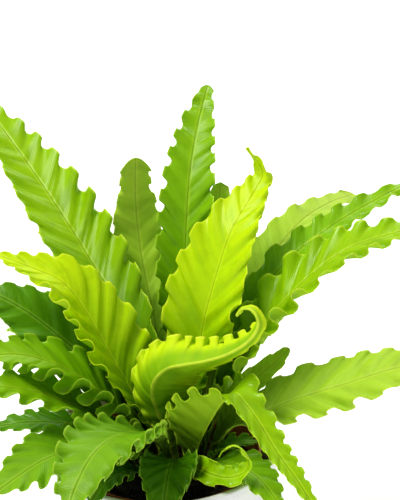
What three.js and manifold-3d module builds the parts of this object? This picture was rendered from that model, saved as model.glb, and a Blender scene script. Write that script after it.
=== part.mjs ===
import * as THREE from 'three';
import * as BufferGeometryUtils from 'three/addons/utils/BufferGeometryUtils.js';
import Module from 'manifold-3d';

// Potted bird's nest fern of the Osaka kind: a rosette of strap fronds with waved margins.
// Millimetres, +Z up, origin at the middle of the planter's underside.

// Planter, a plain tapered outer pot
const PLANTER_HEIGHT = 122;
const PLANTER_RIM_RADIUS = 74;
const PLANTER_FOOT_RADIUS = 66;
const PLANTER_WALL = 4;
const PLANTER_FLOOR = 6;
const PLANTER_EDGE = 1.2;

// Nursery pot, standing loose in the planter and a little to one side
const FIT_GAP = 0.3;
const NURSERY_OFFSET = 2;
const NURSERY_RIM_HEIGHT = 114;
const NURSERY_RIM_RADIUS = 60;
const NURSERY_RIM_BAND = 10;
const NURSERY_RIM_STEP = 2;
const NURSERY_FOOT_RADIUS = 43;
const NURSERY_WALL = 1.5;
const NURSERY_FLOOR = 2;
const DRAIN_COUNT = 4;
const DRAIN_RADIUS = 5;
const DRAIN_CUT = 12;
const DRAIN_CIRCLE = 26;
const DRAIN_SIDES = 6;
const POT_SIDES = 40;

// Soil and the short upright rhizome that carries the fronds
const SOIL_TOP = 101;
const SOIL_DOME = 2;
const SOIL_RING = 0.72;
const CROWN_X = 11;
const CROWN_LEVEL = 104;
const CROWN_DEPTH = 14;
const CROWN_RADIUS = 27;
const CROWN_SIDES = 24;
const CROWN_RISE = 3;
const CROWN_SHOULDER = 0.75;

// Fronds, in the terms that all of them share
const BLADE_THICKNESS = 0.9;
const STEM_THICKNESS = 2.2;
const STEM_FADE = 12;
const MIDRIB_TENSION = 0.5;
const MIDRIB_DIVISIONS = 400;
const WELD_DISTANCE = 1e-4;
const END_POWER = 6;
const SHARP_TIP = 0.05;
const STEM_HALF_WIDTH = 1.5;
const STEM_SHARE = 0.07;
const STEM_FLAT_START = 0.04;
const STEM_FLAT_LENGTH = 0.09;
const ROOT_DEPTH = 6;
const WAIST_LENGTH = 0.22;
const CUP_POWER = 1.6;
const ACROSS = [-1, -0.55, 0, 0.55, 1];
const STEEPEST = 2.5;

// Waves of the blades: how they wander along the frond, how they grow unevenly and from which share of
// its length they are taller, and how they spread from the midrib to the margin
const SLOW_DRIFT = 0.01;
const SLOW_DRIFT_TURNS = 1.3;
const QUICK_DRIFT = 0.005;
const QUICK_DRIFT_TURNS = 3.7;
const SWAY = 0.6;
const SWAY_TURNS = 2.6;
const SWAY_START = 3;
const SLOW_UNEVENNESS = 0.3;
const SLOW_TURNS = 1.7;
const QUICK_UNEVENNESS = 0.25;
const QUICK_TURNS = 4.3;
const OUTER_START = 0.22;
const OUTER_LENGTH = 0.3;
const INNER_WAVE = 0.25;
const OUTER_INNER_WAVE = 0.2;
const EDGE_WAVE_POWER = 3;
const RUFFLE_POWER = 0.7;
const FRILL_POWER = 6;
const FRILL_WIDTH_POWER = 0.5;
const LOBE_HOOK = 0.35;
const CREST_ROUNDS = 8;
const LEAST_STATION_GAP = 0.4;
const SOCKET_CLEARANCE = 0.7;
const SOCKET_LENGTH = 20;
const SOCKET_SIGHT = 10;

// Colours: leaves from the bright young fronds to the dark old ones, then the pots and what fills them
const LIME = 0xbfe010;
const BRIGHT = 0x8cc81c;
const GREEN = 0x5fa51c;
const DARK = 0x356b1c;
const MATTE = 0x86a850;
const WHITE_GLAZE = 0xe9e9ec;
const TERRACOTTA = 0xa5482f;
const PEAT = 0x1a100b;
const RHIZOME = 0x3a2a1c;

// Roughness of the same surfaces
const GLAZE_ROUGHNESS = 0.35;
const PLASTIC_ROUGHNESS = 0.6;
const PEAT_ROUGHNESS = 1;
const RHIZOME_ROUGHNESS = 0.95;
const LEAF_ROUGHNESS = 0.4;

// Each frond leaves the crown in the direction heading, in degrees from +X. Its midrib runs through
// the points of spine, each [reach, height, drift] from the crown: out along the heading, up, and to the
// left of it. waves is the number of waves on a margin, ruffle the height of the folds and frill what the
// margin adds to them. roll turns the blade about its midrib and cup lifts its two halves, in degrees.
// These lists run from the base to the tip. The blade is widest at belly, a share of its length. A higher
// neck keeps it slim for longer above the stem, and a higher taper gives it a sharper tip.
// The rest is the same on most fronds, and a row names it only where it differs: how much taller the
// folds of the outer part are, how far the lobes stand out sideways, how steeply the folds slant, how
// wide the tip is left, how the waves crowd towards the base, the share of the wave on the left and right
// half, and a waist, as the share of the width that is lost and the place where that starts.
const PLAIN = {
  frill: [0], outer: 0.3, lobes: 0.1, slant: 1.1, blunt: 0.05, crowding: 1.15, sides: [1, 1], waist: [0, 0.5],
};
const FRONDS = [
  {
    name: 'frond_crested', heading: 345, halfWidth: 26, waves: 19, ruffle: 0.8, colour: LIME,
    spine: [[0, 0, -6], [-4, 24, -10], [-8, 44, -17], [-10, 60, -23], [-7, 73, -27], [1, 83, -29],
      [12, 88, -30], [24, 91, -28], [37, 96, -25], [48, 104, -22], [53, 113, -18], [49, 120, -14],
      [42, 119, -11], [38, 113, -9]],
    roll: [-82, -86, -106, -98, -95], cup: [5, 15, 50, 66, 45], belly: 0.45, neck: 2.2, taper: 1.25,
    frill: [1.5, 3.8, 3], outer: 0, lobes: 0.1, slant: 0.2, sides: [0.12, 1],
  },
  {
    name: 'frond_bright_back', heading: 52, halfWidth: 27, waves: 13, ruffle: 3, colour: LIME,
    spine: [[5, 0, 0], [13, 50, -1], [22, 90, -2], [34, 117, -2], [50, 143, -2], [74, 160, -1],
      [84, 170, 0], [76, 187, 6]],
    roll: [10, 5, 5], cup: [55, 22, 10], belly: 0.5, neck: 1.8, taper: 1.15, frill: [2, 0.5, 1.5],
    sides: [0.6, 1.2],
  },
  {
    name: 'frond_bright_left', heading: 171, halfWidth: 27, waves: 13, ruffle: 3.3, colour: LIME,
    spine: [[7, 2, 0], [26, 40, 0], [42, 72, 0], [56, 100, 0], [70, 120, 0], [90, 129, 0],
      [118, 138, 0]],
    roll: [-10, -22, -15], cup: [40, 26, 10], belly: 0.45, neck: 1.7, taper: 1.1, frill: [0.5, 0.5, 1],
    sides: [1.1, 0.6],
  },
  {
    name: 'frond_arching', heading: 310, halfWidth: 26, waves: 18, ruffle: 1.2, colour: BRIGHT,
    spine: [[14, 0, -2], [20, 22, -3], [27, 36, -4], [34, 50, -3], [41, 63, -1], [50, 72, 1],
      [60, 69, 1], [72, 62, 1], [88, 51, 0], [106, 40, 0], [128, 24, 0]],
    roll: [0, 0, 0], cup: [40, 50, 20, 10, 10], belly: 0.3, neck: 1.6, taper: 0.7,
    frill: [4.5, 2.5, 1], outer: 0.1, slant: 0.5, waist: [0.55, 0.36],
  },
  {
    name: 'frond_long_left', heading: 130, halfWidth: 24, waves: 14, ruffle: 3.4, colour: BRIGHT,
    spine: [[13, 0, 0], [32, 57, 0], [55, 84, 0], [85, 106, 0], [112, 126, 0], [142, 146, 0],
      [177, 167, 0], [212, 186, 0]],
    roll: [-10, -14, -10], cup: [50, 20, 8], belly: 0.5, neck: 1.5, taper: 0.75, lobes: 0.12,
  },
  {
    name: 'frond_tall_back', heading: 86, halfWidth: 18, waves: 16, ruffle: 2.4, colour: GREEN,
    spine: [[12, 0, 0], [28, 50, 0], [44, 96, 0], [60, 134, 0], [78, 164, -1], [100, 186, -4],
      [126, 206, -9]],
    roll: [0, 0, 0], cup: [50, 20, 10], belly: 0.5, neck: 1.4, taper: 0.65, lobes: 0.14, blunt: 0.28,
  },
  {
    name: 'frond_right_near', heading: 9, halfWidth: 21, waves: 14, ruffle: 3, colour: BRIGHT,
    spine: [[11, 0, 0], [24, 35, 0], [40, 70, 0], [64, 108, 0], [98, 138, 0], [132, 149, 0],
      [165, 154, 0]],
    roll: [5, 5, 5], cup: [50, 22, 8], belly: 0.5, neck: 1.5, taper: 0.75, frill: [2.5, 1, 1],
    sides: [0.8, 1.1],
  },
  {
    name: 'frond_right_mid', heading: 34, halfWidth: 12, waves: 14, ruffle: 2.6, colour: GREEN,
    spine: [[14, 0, 0], [31, 46, -0.4], [51, 88, 0.8], [78, 116, 1], [116, 134, 0], [154, 144, 0],
      [186, 150, 0]],
    roll: [5, 10, 10], cup: [50, 20, 8], belly: 0.55, neck: 1.6, taper: 0.75, sides: [0.85, 1.1],
  },
  {
    name: 'frond_right_far', heading: 50, halfWidth: 15.5, waves: 12, ruffle: 2, colour: MATTE,
    spine: [[18, 0, 0], [37, 60, 2.2], [62, 92, 1.2], [91, 111, 0], [121, 124, 0], [152, 127, 0],
      [181, 124, 0]],
    roll: [10, 14, 12], cup: [50, 15, 5], belly: 0.55, neck: 1.8, taper: 0.8, blunt: 0.45,
    sides: [0.45, 0.9],
  },
  {
    name: 'frond_blunt_back', heading: 106, halfWidth: 19, waves: 12, ruffle: 1.4, colour: MATTE,
    spine: [[17, 0, 0], [38, 40, 0], [64, 76, 0], [82, 98, 1], [92, 122, 2], [93, 146, 3],
      [91, 171, 3]],
    roll: [0, 0, 0], cup: [50, 10, 0], belly: 0.6, neck: 1.4, taper: 0.8, lobes: 0.07, blunt: 0.52,
  },
  {
    name: 'frond_right_flat', heading: 350, halfWidth: 21, waves: 10, ruffle: 2.8, colour: MATTE,
    spine: [[14, 0, 0], [31, 28, 0], [55, 44, 0], [76, 55, 0], [100, 66, 0], [130, 80, 0],
      [165, 91, 0]],
    roll: [0, 20, 20], cup: [45, 10, 5], belly: 0.5, neck: 1.2, taper: 0.75, lobes: 0.07,
    sides: [0.5, 1.1],
  },
  {
    name: 'frond_left_dark', heading: 165, halfWidth: 22, waves: 10, ruffle: 2.8, colour: DARK,
    spine: [[17, 0, 0], [32, 36, 0], [54, 60, 0], [78, 80, 0], [100, 95, 0], [128, 107, 0]],
    roll: [0, -35, -30], cup: [45, 12, 8], belly: 0.55, neck: 1.7, taper: 0.75, lobes: 0.07,
    sides: [1, 0.6],
  },
  {
    name: 'frond_left_frilled', heading: 197, halfWidth: 20, waves: 11, ruffle: 2.2, colour: GREEN,
    spine: [[15, 0, 0], [25, 22, 0], [40, 46, 0], [55, 65, 0], [75, 82, 0], [99, 93, 0], [126, 95, 0]],
    roll: [0, -12, -20], cup: [25, 12, 8], belly: 0.5, neck: 1.5, taper: 0.75, frill: [5, 5, 2.5],
    sides: [1.15, 0.5],
  },
  {
    name: 'frond_left_ribbed', heading: 207, halfWidth: 20, waves: 9, ruffle: 2.8, colour: GREEN,
    spine: [[20, 0, 0], [34, 24, 0], [50, 42, 0], [70, 60, 0], [98, 78, 0], [132, 90, 0]],
    roll: [0, -8, -10], cup: [30, 12, 8], belly: 0.5, neck: 1.7, taper: 0.75, lobes: 0.06,
    sides: [1, 0.6],
  },
  {
    name: 'frond_left_broad', heading: 226, halfWidth: 24, waves: 10, ruffle: 2.8, colour: GREEN,
    spine: [[17, 0, 0], [35, 20, 0], [58, 38, 0], [85, 48, 0], [112, 52, 0], [146, 47, 0]],
    roll: [0, -8, -5], cup: [30, 6, 5], belly: 0.55, neck: 1.8, taper: 0.75, lobes: 0.05,
    sides: [1.2, 0.5],
  },
  {
    name: 'frond_front_left', heading: 246, halfWidth: 23, waves: 14, ruffle: 1, colour: GREEN,
    spine: [[12, 0, 0], [24, 24, 0], [42, 43, 0], [66, 59, 0], [92, 69, 0], [115, 71, 0], [134, 63, 0],
      [147, 50, 0]],
    roll: [0, 5, 0], cup: [45, 15, 0], belly: 0.6, neck: 1.8, taper: 0.8, frill: [3, 4, 3], slant: 0.8,
    crowding: 1.3,
  },
  {
    name: 'frond_left_small', heading: 192, halfWidth: 12, waves: 10, ruffle: 1.8, colour: DARK,
    spine: [[22, 0, 0], [40, 20, 0], [64, 35, 0], [92, 41, 0], [118, 40, 0]],
    roll: [0, -10, -10], cup: [30, 10, 8], belly: 0.5, neck: 1.3, taper: 0.75, lobes: 0.07,
  },
  {
    name: 'frond_front_dark', heading: 264, halfWidth: 17, waves: 9, ruffle: 0.9, colour: DARK,
    spine: [[17, 0, 0], [26, 17, 0], [38, 25, 0], [54, 28, 0], [70, 25, 0], [84, 16, 0]],
    roll: [0, 4, 4], cup: [25, 12, 5], belly: 0.55, neck: 1.9, taper: 0.75, frill: [3, 4, 2],
  },
  {
    name: 'frond_front_slim', heading: 235, halfWidth: 9, waves: 10, ruffle: 1.6, colour: DARK,
    spine: [[20, 0, 0], [36, 12, 0], [56, 22, 0], [76, 25, 0], [94, 14, 0]],
    roll: [0, 0, 0], cup: [40, 12, 5], belly: 0.5, neck: 1.6, taper: 0.75,
  },
  {
    name: 'frond_curled_young', heading: 350, halfWidth: 8, waves: 9, ruffle: 0.7, colour: BRIGHT,
    spine: [[6, 0, -16], [9, 10, -20], [15, 18, -29], [21, 23, -40], [29, 25, -48], [39, 26, -51],
      [48, 30, -51], [51, 37, -50], [47, 44, -48], [40, 45, -46], [35, 40, -44], [32, 34, -42]],
    roll: [0, 35, 20], cup: [25, 20, 10], belly: 0.42, neck: 1.4, taper: 1.5, frill: [1, 1.6, 1],
    slant: 0.4,
  },
  {
    name: 'frond_right_drooping', heading: 313, halfWidth: 15, waves: 8, ruffle: 1.3, colour: GREEN,
    spine: [[18, 0, 0], [28, 11, 0], [42, 20, 0], [58, 23, 0], [74, 20, 0], [90, 9, 0]],
    roll: [0, 0, 0], cup: [20, 10, 5], belly: 0.5, neck: 2, taper: 0.75, lobes: 0.05,
  },
  {
    name: 'frond_right_short', heading: 354, halfWidth: 9, waves: 6, ruffle: 1.1, colour: DARK,
    spine: [[19, 0, 0], [27, 11, 0], [38, 17, 0], [49, 18, 0]],
    roll: [0, 0, 0], cup: [5, 12, 10], belly: 0.55, neck: 2.2, taper: 0.75,
  },
  {
    name: 'frond_front_short', heading: 330, halfWidth: 5.5, waves: 7, ruffle: 1, colour: DARK,
    spine: [[20, 0, 0], [24, 12, 0], [31, 20, 0], [40, 23, 0]],
    roll: [0, 0, 0], cup: [5, 12, 10], belly: 0.55, neck: 2.6, taper: 0.75,
  },
  {
    name: 'frond_back_slim', heading: 73, halfWidth: 11, waves: 9, ruffle: 1.8, colour: MATTE,
    spine: [[15, 0, 0], [38, 48, 0], [61, 90, 0.6], [77, 121, 0], [89, 155, 0]],
    roll: [0, 0, 0], cup: [45, 15, 5], belly: 0.62, neck: 1.8, taper: 0.35, blunt: 0.3,
  },
  {
    name: 'frond_right_blunt', heading: 20, halfWidth: 9, waves: 6, ruffle: 1.4, colour: MATTE,
    spine: [[18, 0, 0], [34, 32, 0], [52, 51, 0], [64, 60, 0], [73, 68, 0]],
    roll: [10, 20, 20], cup: [45, 15, 5], belly: 0.6, neck: 1.8, taper: 0.6, lobes: 0.05, blunt: 0.4,
    sides: [0.5, 0.5],
  },
  {
    name: 'frond_back_low_middle', heading: 104, halfWidth: 20, waves: 12, ruffle: 3.2, colour: GREEN,
    spine: [[21, 0, 0], [42, 30, 0], [68, 48, 0], [98, 56, 0], [132, 54, 0], [158, 42, 0]],
    roll: [0, 0, 0], cup: [45, 15, 5], belly: 0.5, neck: 1.4, taper: 0.75,
  },
  {
    name: 'frond_back_low_left', heading: 144, halfWidth: 20, waves: 11, ruffle: 3.2, colour: GREEN,
    spine: [[19, 0, 0], [38, 30, 0], [64, 50, 0], [92, 60, 0], [120, 60, 0], [142, 50, 0]],
    roll: [0, 0, 0], cup: [45, 15, 5], belly: 0.5, neck: 1.4, taper: 0.75,
  },
  {
    name: 'frond_back_low_right', heading: 61, halfWidth: 18, waves: 11, ruffle: 3, colour: GREEN,
    spine: [[20, 0, 0], [42, 28, 0], [68, 45, 0], [96, 52, 0], [122, 48, 0], [140, 38, 0]],
    roll: [0, 0, 0], cup: [45, 15, 5], belly: 0.5, neck: 1.5, taper: 0.75,
  },
  {
    name: 'frond_back_lowest', heading: 84, halfWidth: 16, waves: 11, ruffle: 2.8, colour: DARK,
    spine: [[21, 0, 0], [43, 19, 0], [68, 30, 0], [96, 32, 0], [122, 22, 0]],
    roll: [0, 0, 0], cup: [45, 15, 5], belly: 0.5, neck: 1.6, taper: 0.75,
  },
].map((row) => ({ ...PLAIN, ...row }));

const wasm = await Module();
wasm.setup();

// A closed geometry as a solid for joining and cutting.
function solidOf(geometry) {
  const bare = geometry.clone();
  bare.deleteAttribute('normal');
  bare.deleteAttribute('uv');
  const merged = BufferGeometryUtils.mergeVertices(bare, WELD_DISTANCE);
  return new wasm.Manifold(new wasm.Mesh({
    numProp: 3,
    vertProperties: new Float32Array(merged.attributes.position.array),
    triVerts: new Uint32Array(merged.index.array),
  }));
}

// A solid's surface as a geometry. Loose scraps are left behind.
function geometryOf(solid) {
  const bodies = solid.decompose().sort((a, b) => b.volume() - a.volume());
  const mesh = bodies[0].getMesh();
  const geometry = new THREE.BufferGeometry();
  geometry.setAttribute('position', new THREE.BufferAttribute(new Float32Array(mesh.vertProperties), 3));
  geometry.setIndex(new THREE.BufferAttribute(new Uint32Array(mesh.triVerts), 1));
  geometry.computeVertexNormals();
  return geometry;
}

// A closed profile of [radius, height] points turned about the upright axis.
function turned(profile, sides) {
  const points = profile.map(([radius, height]) => new THREE.Vector2(radius, height));
  return new THREE.LatheGeometry(points, sides).rotateX(Math.PI / 2);
}

function meshOf(name, geometry, colour, roughness) {
  const material = new THREE.MeshStandardMaterial({ color: colour, roughness, metalness: 0 });
  const mesh = new THREE.Mesh(geometry, material);
  mesh.name = name;
  return mesh;
}

function planter() {
  const innerRim = PLANTER_RIM_RADIUS - PLANTER_WALL;
  const innerFoot = PLANTER_FOOT_RADIUS - PLANTER_WALL;
  const profile = [
    [0, 0],
    [PLANTER_FOOT_RADIUS - PLANTER_EDGE, 0],
    [PLANTER_FOOT_RADIUS, PLANTER_EDGE],
    [PLANTER_RIM_RADIUS, PLANTER_HEIGHT - PLANTER_EDGE],
    [PLANTER_RIM_RADIUS - PLANTER_EDGE, PLANTER_HEIGHT],
    [innerRim + PLANTER_EDGE, PLANTER_HEIGHT],
    [innerRim, PLANTER_HEIGHT - PLANTER_EDGE],
    [innerFoot, PLANTER_FLOOR],
    [0, PLANTER_FLOOR],
  ];
  return meshOf('planter', turned(profile, POT_SIDES), WHITE_GLAZE, GLAZE_ROUGHNESS);
}

const NURSERY_BASE = PLANTER_FLOOR + FIT_GAP;
const NURSERY_BAND_HEIGHT = NURSERY_RIM_HEIGHT - NURSERY_RIM_BAND;
const NURSERY_NECK_RADIUS = NURSERY_RIM_RADIUS - NURSERY_RIM_STEP;
const NURSERY_INNER_BASE = NURSERY_BASE + NURSERY_FLOOR;

// Inner radius of the nursery pot's tapered wall at a height.
function nurseryInside(height) {
  const share = (height - NURSERY_BASE) / (NURSERY_BAND_HEIGHT - NURSERY_BASE);
  return THREE.MathUtils.lerp(NURSERY_FOOT_RADIUS, NURSERY_NECK_RADIUS, share) - NURSERY_WALL;
}

function nurseryPot() {
  const profile = [
    [0, NURSERY_BASE],
    [NURSERY_FOOT_RADIUS, NURSERY_BASE],
    [NURSERY_NECK_RADIUS, NURSERY_BAND_HEIGHT],
    [NURSERY_RIM_RADIUS, NURSERY_BAND_HEIGHT],
    [NURSERY_RIM_RADIUS, NURSERY_RIM_HEIGHT],
    [NURSERY_RIM_RADIUS - NURSERY_WALL, NURSERY_RIM_HEIGHT],
    [nurseryInside(NURSERY_BAND_HEIGHT), NURSERY_BAND_HEIGHT],
    [nurseryInside(NURSERY_INNER_BASE), NURSERY_INNER_BASE],
    [0, NURSERY_INNER_BASE],
  ];
  let pot = solidOf(turned(profile, POT_SIDES));
  for (let i = 0; i < DRAIN_COUNT; i += 1) {
    const angle = (i / DRAIN_COUNT) * 2 * Math.PI;
    const drain = new THREE.CylinderGeometry(DRAIN_RADIUS, DRAIN_RADIUS, DRAIN_CUT, DRAIN_SIDES);
    drain.rotateX(Math.PI / 2);
    drain.translate(DRAIN_CIRCLE * Math.cos(angle), DRAIN_CIRCLE * Math.sin(angle), NURSERY_BASE);
    pot = pot.subtract(solidOf(drain));
  }
  const mesh = meshOf('nursery_pot', geometryOf(pot), TERRACOTTA, PLASTIC_ROUGHNESS);
  mesh.position.x = NURSERY_OFFSET;
  return mesh;
}

function soil() {
  const floor = NURSERY_INNER_BASE + FIT_GAP;
  const edge = nurseryInside(SOIL_TOP) - FIT_GAP;
  const profile = [
    [0, floor],
    [nurseryInside(floor) - FIT_GAP, floor],
    [edge, SOIL_TOP],
    [edge * SOIL_RING, SOIL_TOP + SOIL_DOME],
    [0, SOIL_TOP + SOIL_DOME],
  ];
  const filling = turned(profile, POT_SIDES).translate(NURSERY_OFFSET, 0, 0);
  const seat = CROWN_LEVEL - CROWN_DEPTH - FIT_GAP;
  const hole = turned([
    [0, seat],
    [CROWN_RADIUS + FIT_GAP, seat],
    [CROWN_RADIUS + FIT_GAP, CROWN_LEVEL + CROWN_DEPTH],
    [0, CROWN_LEVEL + CROWN_DEPTH],
  ], CROWN_SIDES).translate(CROWN_X, 0, 0);
  const filled = solidOf(filling).subtract(solidOf(hole));
  return meshOf('soil', geometryOf(filled), PEAT, PEAT_ROUGHNESS);
}

function smooth(x) {
  return THREE.MathUtils.smoothstep(x, 0, 1);
}

// The smooth curve through values spaced evenly from the base to the tip, at t from 0 to 1.
function blend(values, t) {
  const last = values.length - 1;
  return values.reduce((sum, value, i) => {
    const others = values.map((_, k) => k).filter((k) => k !== i);
    return sum + others.reduce((term, k) => (term * (t * last - k)) / (i - k), value);
  }, 0);
}

// The midrib as a curve, with the directions that the frond is laid out by.
function midribOf(frond) {
  const heading = THREE.MathUtils.degToRad(frond.heading);
  const outward = new THREE.Vector3(Math.cos(heading), Math.sin(heading), 0);
  const side = new THREE.Vector3(-Math.sin(heading), Math.cos(heading), 0);
  const crown = new THREE.Vector3(CROWN_X, 0, CROWN_LEVEL);
  const points = frond.spine.map(([reach, height, drift], i) => crown.clone()
    .addScaledVector(outward, reach)
    .addScaledVector(side, drift)
    .setZ(CROWN_LEVEL + height - (i === 0 ? ROOT_DEPTH : 0)));
  const curve = new THREE.CatmullRomCurve3(points, false, 'catmullrom', MIDRIB_TENSION);
  curve.arcLengthDivisions = MIDRIB_DIVISIONS;
  return { curve, side, length: curve.getLength() };
}

function stemHalfWidth(frond) {
  return STEM_HALF_WIDTH + STEM_SHARE * frond.halfWidth;
}

// Half width of the blade at t along the midrib.
function halfWidthAt(frond, t) {
  const stem = stemHalfWidth(frond);
  const [lost, start] = frond.waist;
  const left = 1 - lost * smooth((t - start) / WAIST_LENGTH);
  if (t <= frond.belly) {
    return left * (stem + (frond.halfWidth - stem) * smooth(t / frond.belly) ** frond.neck);
  }
  const fall = ((1 - t) / (1 - frond.belly)) ** frond.taper;
  return left * frond.halfWidth * Math.max(Math.sin((Math.PI / 2) * fall), frond.blunt);
}

// Waves along the blade: a number of turns over its length. The heading starts each frond's waves at a
// place of their own.
function swing(frond, turns, u, start = 1) {
  return Math.sin(2 * Math.PI * turns * u + start * frond.heading);
}

// How much of the cupping and waving has begun, past the flat stem.
function opening(t) {
  return smooth((t - STEM_FLAT_START) / STEM_FLAT_LENGTH);
}

// Turn of the waves at u, in radians, on one half of the blade: 1 for its left half and -1 for its right.
function phaseAt(frond, u, half) {
  const sway = SWAY * swing(frond, SWAY_TURNS, u, SWAY_START * half);
  return 2 * Math.PI * frond.waves * u + frond.heading + half + sway;
}

// The left and face directions of the blade where the midrib runs along, turned about it by roll.
function acrossRib(rib, along, roll) {
  const across = rib.side.clone().addScaledVector(along, -rib.side.dot(along)).normalize();
  const up = along.clone().cross(across);
  const turn = THREE.MathUtils.degToRad(roll);
  const left = across.clone().multiplyScalar(Math.cos(turn)).addScaledVector(up, Math.sin(turn));
  const face = up.multiplyScalar(Math.cos(turn)).addScaledVector(across, -Math.sin(turn));
  return { left, face };
}

// Point of the blade's middle surface, u along it and v from one margin to the other, and the direction
// square to that half of the blade. The folds run slantwise to the margin, so a line of equal u lies
// along a fold. At the tip the margins end a little before the midrib, which rounds a blunt end. A fold is
// low beside the midrib and high at the margin, where the frill adds to it, and it
// stands square to its own half of the cupped blade. Each half swells and shrinks sideways with its waves,
// which gives the margin its lobes.
function bladePoint(frond, rib, u, v) {
  const reach = Math.abs(v);
  const half = Math.sign(v);
  const swell = Math.max(Math.sin(Math.PI * u), 0);
  const drift = SLOW_DRIFT * swing(frond, SLOW_DRIFT_TURNS, u)
    + QUICK_DRIFT * swing(frond, QUICK_DRIFT_TURNS, u, 2);
  const slant = ((frond.slant * frond.halfWidth) / rib.length) * reach;
  const end = ((frond.blunt - SHARP_TIP) * frond.halfWidth) / rib.length;
  const rounding = end * reach * reach * u ** END_POWER;
  const t = THREE.MathUtils.clamp(u ** frond.crowding + (drift + slant) * swell - rounding, 0, 1);
  const { left, face } = acrossRib(rib, rib.curve.getTangentAt(t), blend(frond.roll, t));
  const width = halfWidthAt(frond, t);
  const share = width / frond.halfWidth;
  const opened = opening(t);
  const cup = THREE.MathUtils.degToRad(blend(frond.cup, t)) * opened;
  const outer = smooth((t - OUTER_START) / OUTER_LENGTH);
  const uneven = 1 + SLOW_UNEVENNESS * swing(frond, SLOW_TURNS, u, half)
    + QUICK_UNEVENNESS * swing(frond, QUICK_TURNS, u, 2 * half);
  const inner = INNER_WAVE + OUTER_INNER_WAVE * outer;
  const ruffle = frond.ruffle * share ** RUFFLE_POWER * uneven * (1 + frond.outer * outer)
    * (inner * reach + (1 - inner) * reach ** EDGE_WAVE_POWER);
  const frill = blend(frond.frill, t) * share ** FRILL_WIDTH_POWER * reach ** FRILL_POWER;
  const phase = phaseAt(frond, u, half);
  const wave = Math.sin(phase) * half * (half > 0 ? frond.sides[0] : frond.sides[1]);
  const fold = (ruffle + frill) * opened * wave;
  const hook = LOBE_HOOK * Math.abs(wave) * Math.sin(2 * phase + 1);
  const lobed = 1 + frond.lobes * reach ** EDGE_WAVE_POWER * (wave + hook) * opened;
  const square = face.clone().multiplyScalar(Math.cos(cup)).addScaledVector(left, -half * Math.sin(cup));
  const point = rib.curve.getPointAt(t)
    .addScaledVector(left, width * v * lobed * Math.cos(cup))
    .addScaledVector(face, width * reach ** CUP_POWER * Math.sin(cup))
    .addScaledVector(square, fold);
  return { point, square: half === 0 ? face : square };
}

// Places along one half of the blade where its margin is at a crest or a trough.
function crestsOf(frond, half) {
  const gap = LEAST_STATION_GAP / (2 * frond.waves);
  const first = Math.ceil(phaseAt(frond, gap, half) / Math.PI - 0.5);
  const last = Math.floor(phaseAt(frond, 1 - gap, half) / Math.PI - 0.5);
  const crests = [];
  for (let turn = first; turn <= last; turn += 1) {
    let u = 0.5;
    for (let round = 0; round < CREST_ROUNDS; round += 1) {
      u += ((turn + 0.5) * Math.PI - phaseAt(frond, u, half)) / (2 * Math.PI * frond.waves);
    }
    crests.push(u);
  }
  return crests;
}

// Rows across the blade, each with its place along the right half and along the left: the two ends, and
// the crests and troughs between them, paired from the tip.
function stationsOf(frond) {
  const right = crestsOf(frond, -1);
  const left = crestsOf(frond, 1);
  const count = Math.min(right.length, left.length);
  const paired = left.slice(-count).map((u, i) => [right.at(i - count), u]);
  return [[0, 0], ...paired, [1, 1]];
}

// How much thicker a sheet has to be, square to the blade, to keep its thickness across the slopes
// before and behind a point of its grid.
function slopeShare(grid, i, j) {
  const here = grid[i][j];
  const shares = [i - 1, i + 1].filter((k) => k >= 0 && k < grid.length).map((k) => {
    const rise = grid[k][j].point.clone().sub(here.point).normalize().dot(here.square);
    return 1 / Math.sqrt(1 - rise * rise);
  });
  return Math.min(Math.max(...shares), STEEPEST);
}

// A closed thin solid on a grid of points with their square directions, both faces split alike.
function sheetSolid(grid, thicknessAt) {
  const rows = grid.length;
  const columns = grid[0].length;
  const upper = [];
  const lower = [];
  for (let i = 0; i < rows; i += 1) {
    for (let j = 0; j < columns; j += 1) {
      const { point, square } = grid[i][j];
      const half = (thicknessAt(i) / 2) * slopeShare(grid, i, j);
      upper.push(point.clone().addScaledVector(square, half));
      lower.push(point.clone().addScaledVector(square, -half));
    }
  }
  const top = (i, j) => i * columns + j;
  const under = (i, j) => rows * columns + i * columns + j;
  const faces = [];
  const wall = (a, b, c, d) => faces.push(a, b, c, a, c, d);
  for (let i = 0; i + 1 < rows; i += 1) {
    for (let j = 0; j + 1 < columns; j += 1) {
      wall(top(i, j), top(i + 1, j), top(i + 1, j + 1), top(i, j + 1));
      faces.push(under(i, j), under(i + 1, j + 1), under(i + 1, j));
      faces.push(under(i, j), under(i, j + 1), under(i + 1, j + 1));
    }
    wall(top(i + 1, 0), top(i, 0), under(i, 0), under(i + 1, 0));
    wall(top(i, columns - 1), top(i + 1, columns - 1), under(i + 1, columns - 1), under(i, columns - 1));
  }
  for (let j = 0; j + 1 < columns; j += 1) {
    wall(top(0, j), top(0, j + 1), under(0, j + 1), under(0, j));
    wall(top(rows - 1, j + 1), top(rows - 1, j), under(rows - 1, j), under(rows - 1, j + 1));
  }
  const geometry = new THREE.BufferGeometry().setFromPoints([...upper, ...lower]);
  geometry.setIndex(faces);
  geometry.computeVertexNormals();
  return geometry;
}

function frondMesh(frond) {
  const rib = midribOf(frond);
  const stations = stationsOf(frond);
  const middles = stations.map(([right, left]) => (right + left) / 2);
  const grid = stations.map(([right, left], i) => ACROSS.map((v) => {
    const u = v < 0 ? right : left;
    return bladePoint(frond, rib, v === 0 ? middles[i] : u, v);
  }));
  const thickness = (i) => BLADE_THICKNESS
    + (STEM_THICKNESS - BLADE_THICKNESS) * (1 - middles[i] ** frond.crowding) ** STEM_FADE;
  return meshOf(frond.name, sheetSolid(grid, thickness), frond.colour, LEAF_ROUGHNESS);
}

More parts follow.
